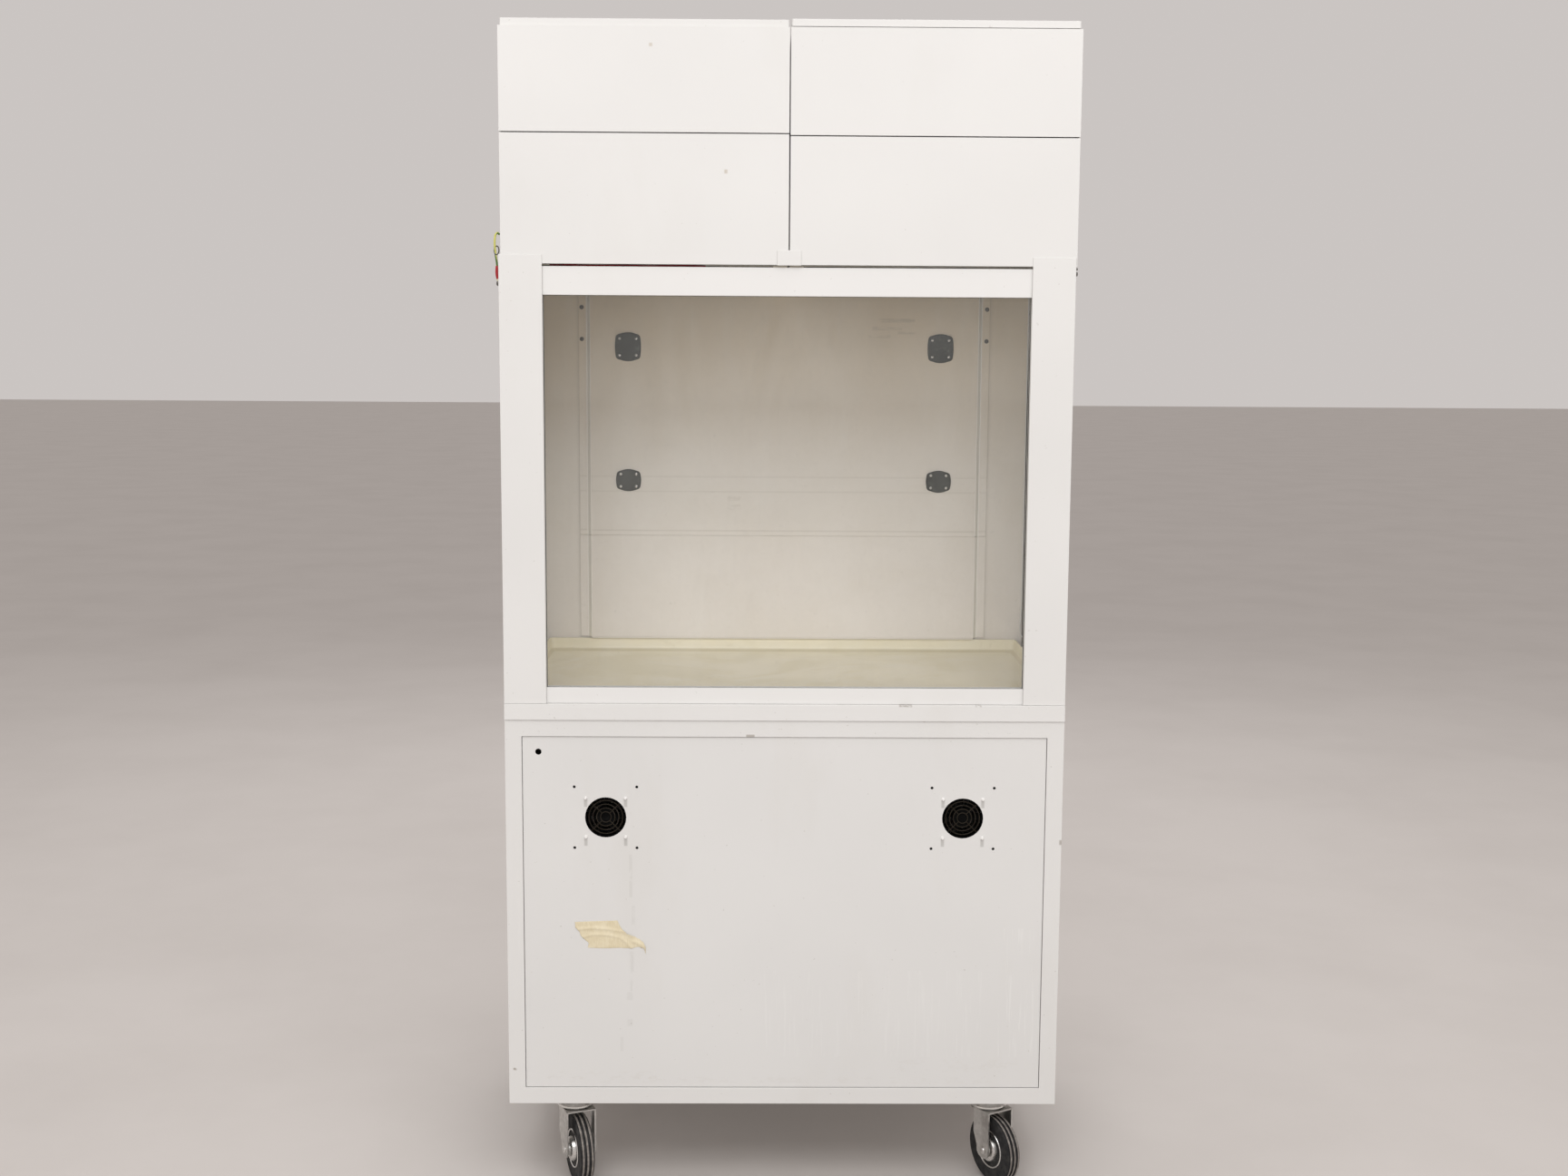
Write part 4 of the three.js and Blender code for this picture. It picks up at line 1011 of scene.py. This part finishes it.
def add_glazing_seal_and_shade():
    """The thin dark strip that beds the glass in each rail; its black also stands in as painted shade along
    the glass edges.
    """
    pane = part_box("sash_glass")[0].y
    front = pane - 0.0008
    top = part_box("sash_top_rail")[0].z
    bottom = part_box("sash_bottom_rail")[1].z
    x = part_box("sash_side_rail_right")[0].x
    thick = 0.0011
    level = [((-x, front, z - 0.0006), (x, pane, z + 0.0020)) for z in (top, bottom - 0.0016)]
    upright = [((middle - thick, front, bottom), (middle + thick, pane, top)) for middle in (-x, x)]
    new_piece("glazing_seal_and_shade", boxes(*level, *upright, radius=0.0002), "seal", SASH)


def add_balance_tapes():
    """Spring tape from each drum down to the sash's lug."""
    coil, lug_top, travel = 0.0165, 1.6145, 0.4
    for side, sign in SIDES.items():
        top = centre_of(f"balance_drum_{side}") - sign * coil * X_AXIS
        foot = Vector((top.x, top.y, lug_top))
        section = Vector((0.00025, 0.0055, 0))
        tape = rounded_box(foot - section, top + section, 0)
        upright = [e for e in tape.edges if abs((e.verts[0].co - e.verts[1].co).z) > 0.1]
        bmesh.ops.subdivide_edges(tape, edges=upright, cuts=12)
        piece = new_piece(f"balance_tape_{side}", tape, "spring", CABINET)
        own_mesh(piece)


def add_plenum_shade_lining():
    """Near-black lining on each side wall behind the back wall, seen through the gap at its edge; it stands in
    as painted shade for the deep gap.
    """
    low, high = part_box("back_wall")
    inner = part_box("chamber_side_right")[0].x
    back, thick = 0.318, 0.0012
    y, z = high.y + 0.001, low.z + 0.001
    left = (-inner, y, z), (thick - inner, back, high.z)
    right = (inner - thick, y, z), (inner, back, high.z)
    lining = boxes(left, right)
    new_piece("plenum_shade_lining", lining, "foam", CABINET)


def add_wall_bead():
    """A pale bead of sealant down the back wall's right-hand edge."""
    low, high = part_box("back_wall")
    route = [(-0.0005, -0.0008, high.z - 0.004), (-0.0011, -0.0010, 1.474), (-0.0017, -0.0012, 1.224),
             (-0.0019, -0.0012, 1.034), (-0.0041, -0.0016, 0.978), (0.0000, -0.0014, 0.956)]
    line = smooth_path([(high.x + x, low.y + y, z) for x, y, z in route], 10)
    bead = swept(line, lambda t: 0.0015 + 0.0004 * math.sin(t * 19), 10)
    new_piece("wall_bead", bead, "rail", CABINET, 60)


# ------ modules
def add_outlet_guard(side):
    """Ring guard in the lid's air outlet."""
    centre = centre_of(f"exhaust_impeller_{side}")
    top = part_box(f"top_cap_{side}")[0].z + 0.0122
    centre.z = top - 0.0034
    wire = 0.0011
    guard = ring_guard(centre, X_AXIS, Y_AXIS, [0.018 + i * 0.0122 for i in range(8)], 64, wire, wire * 1.2,
                       (0.012, 0.1165), -0.0014 * Z_AXIS)
    hub = turned([(0, top - 0.0052), (0.014, top - 0.0052), (0.014, top - 0.0036), (0, top - 0.0036)], 32)
    merge_in(guard, hub, Matrix.Translation((centre.x, centre.y, 0)))
    new_piece(f"outlet_guard_{side}", guard, "bright", CABINET, smooth=60)


def add_module_fixings():
    """Screws on the backs and the outer sides of the modules."""
    back, outside = [], []
    for side, sign in SIDES.items():
        low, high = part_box(f"module_shell_{side}")
        outer = high.x - 0.0020 if sign > 0 else low.x
        for z in (low.z + 0.018, low.z + 0.205, low.z + 0.240, high.z - 0.016):
            for x in (low.x + 0.018, (low.x + high.x) / 2, high.x - 0.018):
                back.append((Y_AXIS, (x, high.y - 0.0022, z)))
            for y in (low.y + 0.03, 0.02, high.y - 0.03):
                outside.append((sign * X_AXIS, (outer, y, z)))
    scatter("module_back_screws", pan_head(0.004, 0.0022), back, "bright")
    scatter("module_side_screws", pan_head(0.004, 0.0018), outside, "bright")


def add_side_fixings():
    """Small screws at the sill's ends and at the stiles' sides."""
    spots = ((-0.307, 0.893), (-0.306, 0.984), (-0.306, 1.374))
    places = [(sign * X_AXIS, (sign * 0.4999, y, z)) for sign in SIDES.values() for y, z in spots]
    scatter("stile_side_screws", pan_head(0.0036, 0.0019), places, "zinc")


def add_red_cable():
    """A red cable along the foot of the modules, glimpsed through the gap over the sash."""
    y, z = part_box("module_shell_left")[0].y - 0.0014, 1.6794
    line = smooth_path([(-0.415 + 0.034 * i, y, z + 0.0005 * math.sin(i * 2.1)) for i in range(9)], 4)
    new_piece("red_cable", swept(line, 0.0012, 10), "red", CABINET, smooth=60)


def add_earth_lead():
    """Green and yellow lead with a dark ferrule, a red crimp sleeve and its screw, on the left side."""
    route = [(-0.5000, -0.298, 1.730), (-0.5040, -0.299, 1.733), (-0.5075, -0.300, 1.728),
             (-0.5085, -0.301, 1.714), (-0.5070, -0.302, 1.696), (-0.5050, -0.301, 1.680),
             (-0.5050, -0.300, 1.664), (-0.5035, -0.299, 1.650)]
    line = smooth_path(route, 10)
    sides = 16
    wire = swept(line, 0.0018, sides, lambda step, k: 0 if (k + step // 3) % sides < 6 else 1)
    lead = new_piece("earth_lead_wire", wire, ("green", "yellow"), CABINET, smooth=60)
    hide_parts("earth_lead")
    dark, red, bright = range(3)
    fittings = bmesh.new()
    loop = circle((-0.5052, -0.3015, 1.7030), 0.0040 * X_AXIS, Vector((0, 0.002, 0.0075)), 32)
    merge_in(fittings, swept(loop, 0.0011, 10, closed_loop=True), material=dark)
    crimp = swept([p for p in line if 1.653 < p.z < 1.677],
                  lambda t: 0.0022 + 0.0009 * math.sin(math.pi * t) ** 0.5, 16)
    merge_in(fittings, crimp, material=red)
    tongue = rounded_box((-0.5040, -0.3025, 1.6435), (-0.5026, -0.2965, 1.6540), 0.0004)
    merge_in(fittings, tongue, material=bright)
    screw = pan_head(0.0042, 0.0026)
    shank = turned([(0, 0), (0.002, 0), (0.002, 0.006), (0, 0.006)], 16)
    for at in ((-0.5040, -0.2995, 1.6465), (-0.4965, -0.2975, 1.7295)):
        merge_in(fittings, screw, facing(-X_AXIS, at), dark)
    merge_in(fittings, shank, facing(-X_AXIS, (-0.4985, -0.2995, 1.6465)), bright)
    new_piece("earth_lead_fittings", fittings, ("dark_steel", "red", "bright"), CABINET)


def add_mains_inlet():
    """A generic appliance inlet, low on the left module's back."""
    low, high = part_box("module_shell_left")
    at = Vector((low.x + 0.075, high.y, low.z + 0.285))
    plate = rounded_box(at - Vector((0.025, 0.0022, 0.015)), at + Vector((0.025, -0.0002, 0.015)), 0.0009)
    well = [(-0.0135, -0.0085), (0.0135, -0.0085), (0.0135, 0.0045), (0.0095, 0.0085), (-0.0095, 0.0085),
            (-0.0135, 0.0045)]
    well = [(at.x + x, at.z + z) for x, z in well]
    inlet = cut_with(plate, prism(well, "y", at.y - 0.0016, at.y + 0.002))
    for x, z in ((-0.007, -0.002), (0.007, -0.002), (0, 0.003)):
        pin = at + Vector((x, -0.0012, z))
        half = Vector((0.0009, 0.0008, 0.002))
        merge_in(inlet, rounded_box(pin - half, pin + half, 0.0002, 1), material=1)
    new_piece("mains_inlet", inlet, ("fan", "bright"), CABINET)


# ------ put together
def add_floor():
    mesh = bpy.data.meshes.new("floor")
    half = 60
    corners = [(-half, -half, 0), (half, -half, 0), (half, half, 0), (-half, half, 0)]
    mesh.from_pydata(corners, [], [(0, 1, 2, 3)])
    mesh.materials.append(MATERIALS["floor"])
    floor = bpy.data.objects.new("floor", mesh)
    bpy.context.scene.collection.objects.link(floor)


add_camera()
add_studio()
add_floor()
finish_cad_nodes()
for side_name in SIDES:
    add_fan_guard(side_name)
    add_outlet_guard(side_name)
add_fan_studs()
add_masking_tape()
add_base_fixings()
add_castors()
for node_name in sorted(NODES):
    if node_name.startswith("service_plate"):
        add_plate_details(node_name)
add_flange_screws()
add_baffle_sealant()
add_spill_tray()
add_glazing_seal_and_shade()
add_balance_tapes()
add_plenum_shade_lining()
add_wall_bead()
add_module_fixings()
add_side_fixings()
add_red_cable()
add_earth_lead()
add_mains_inlet()
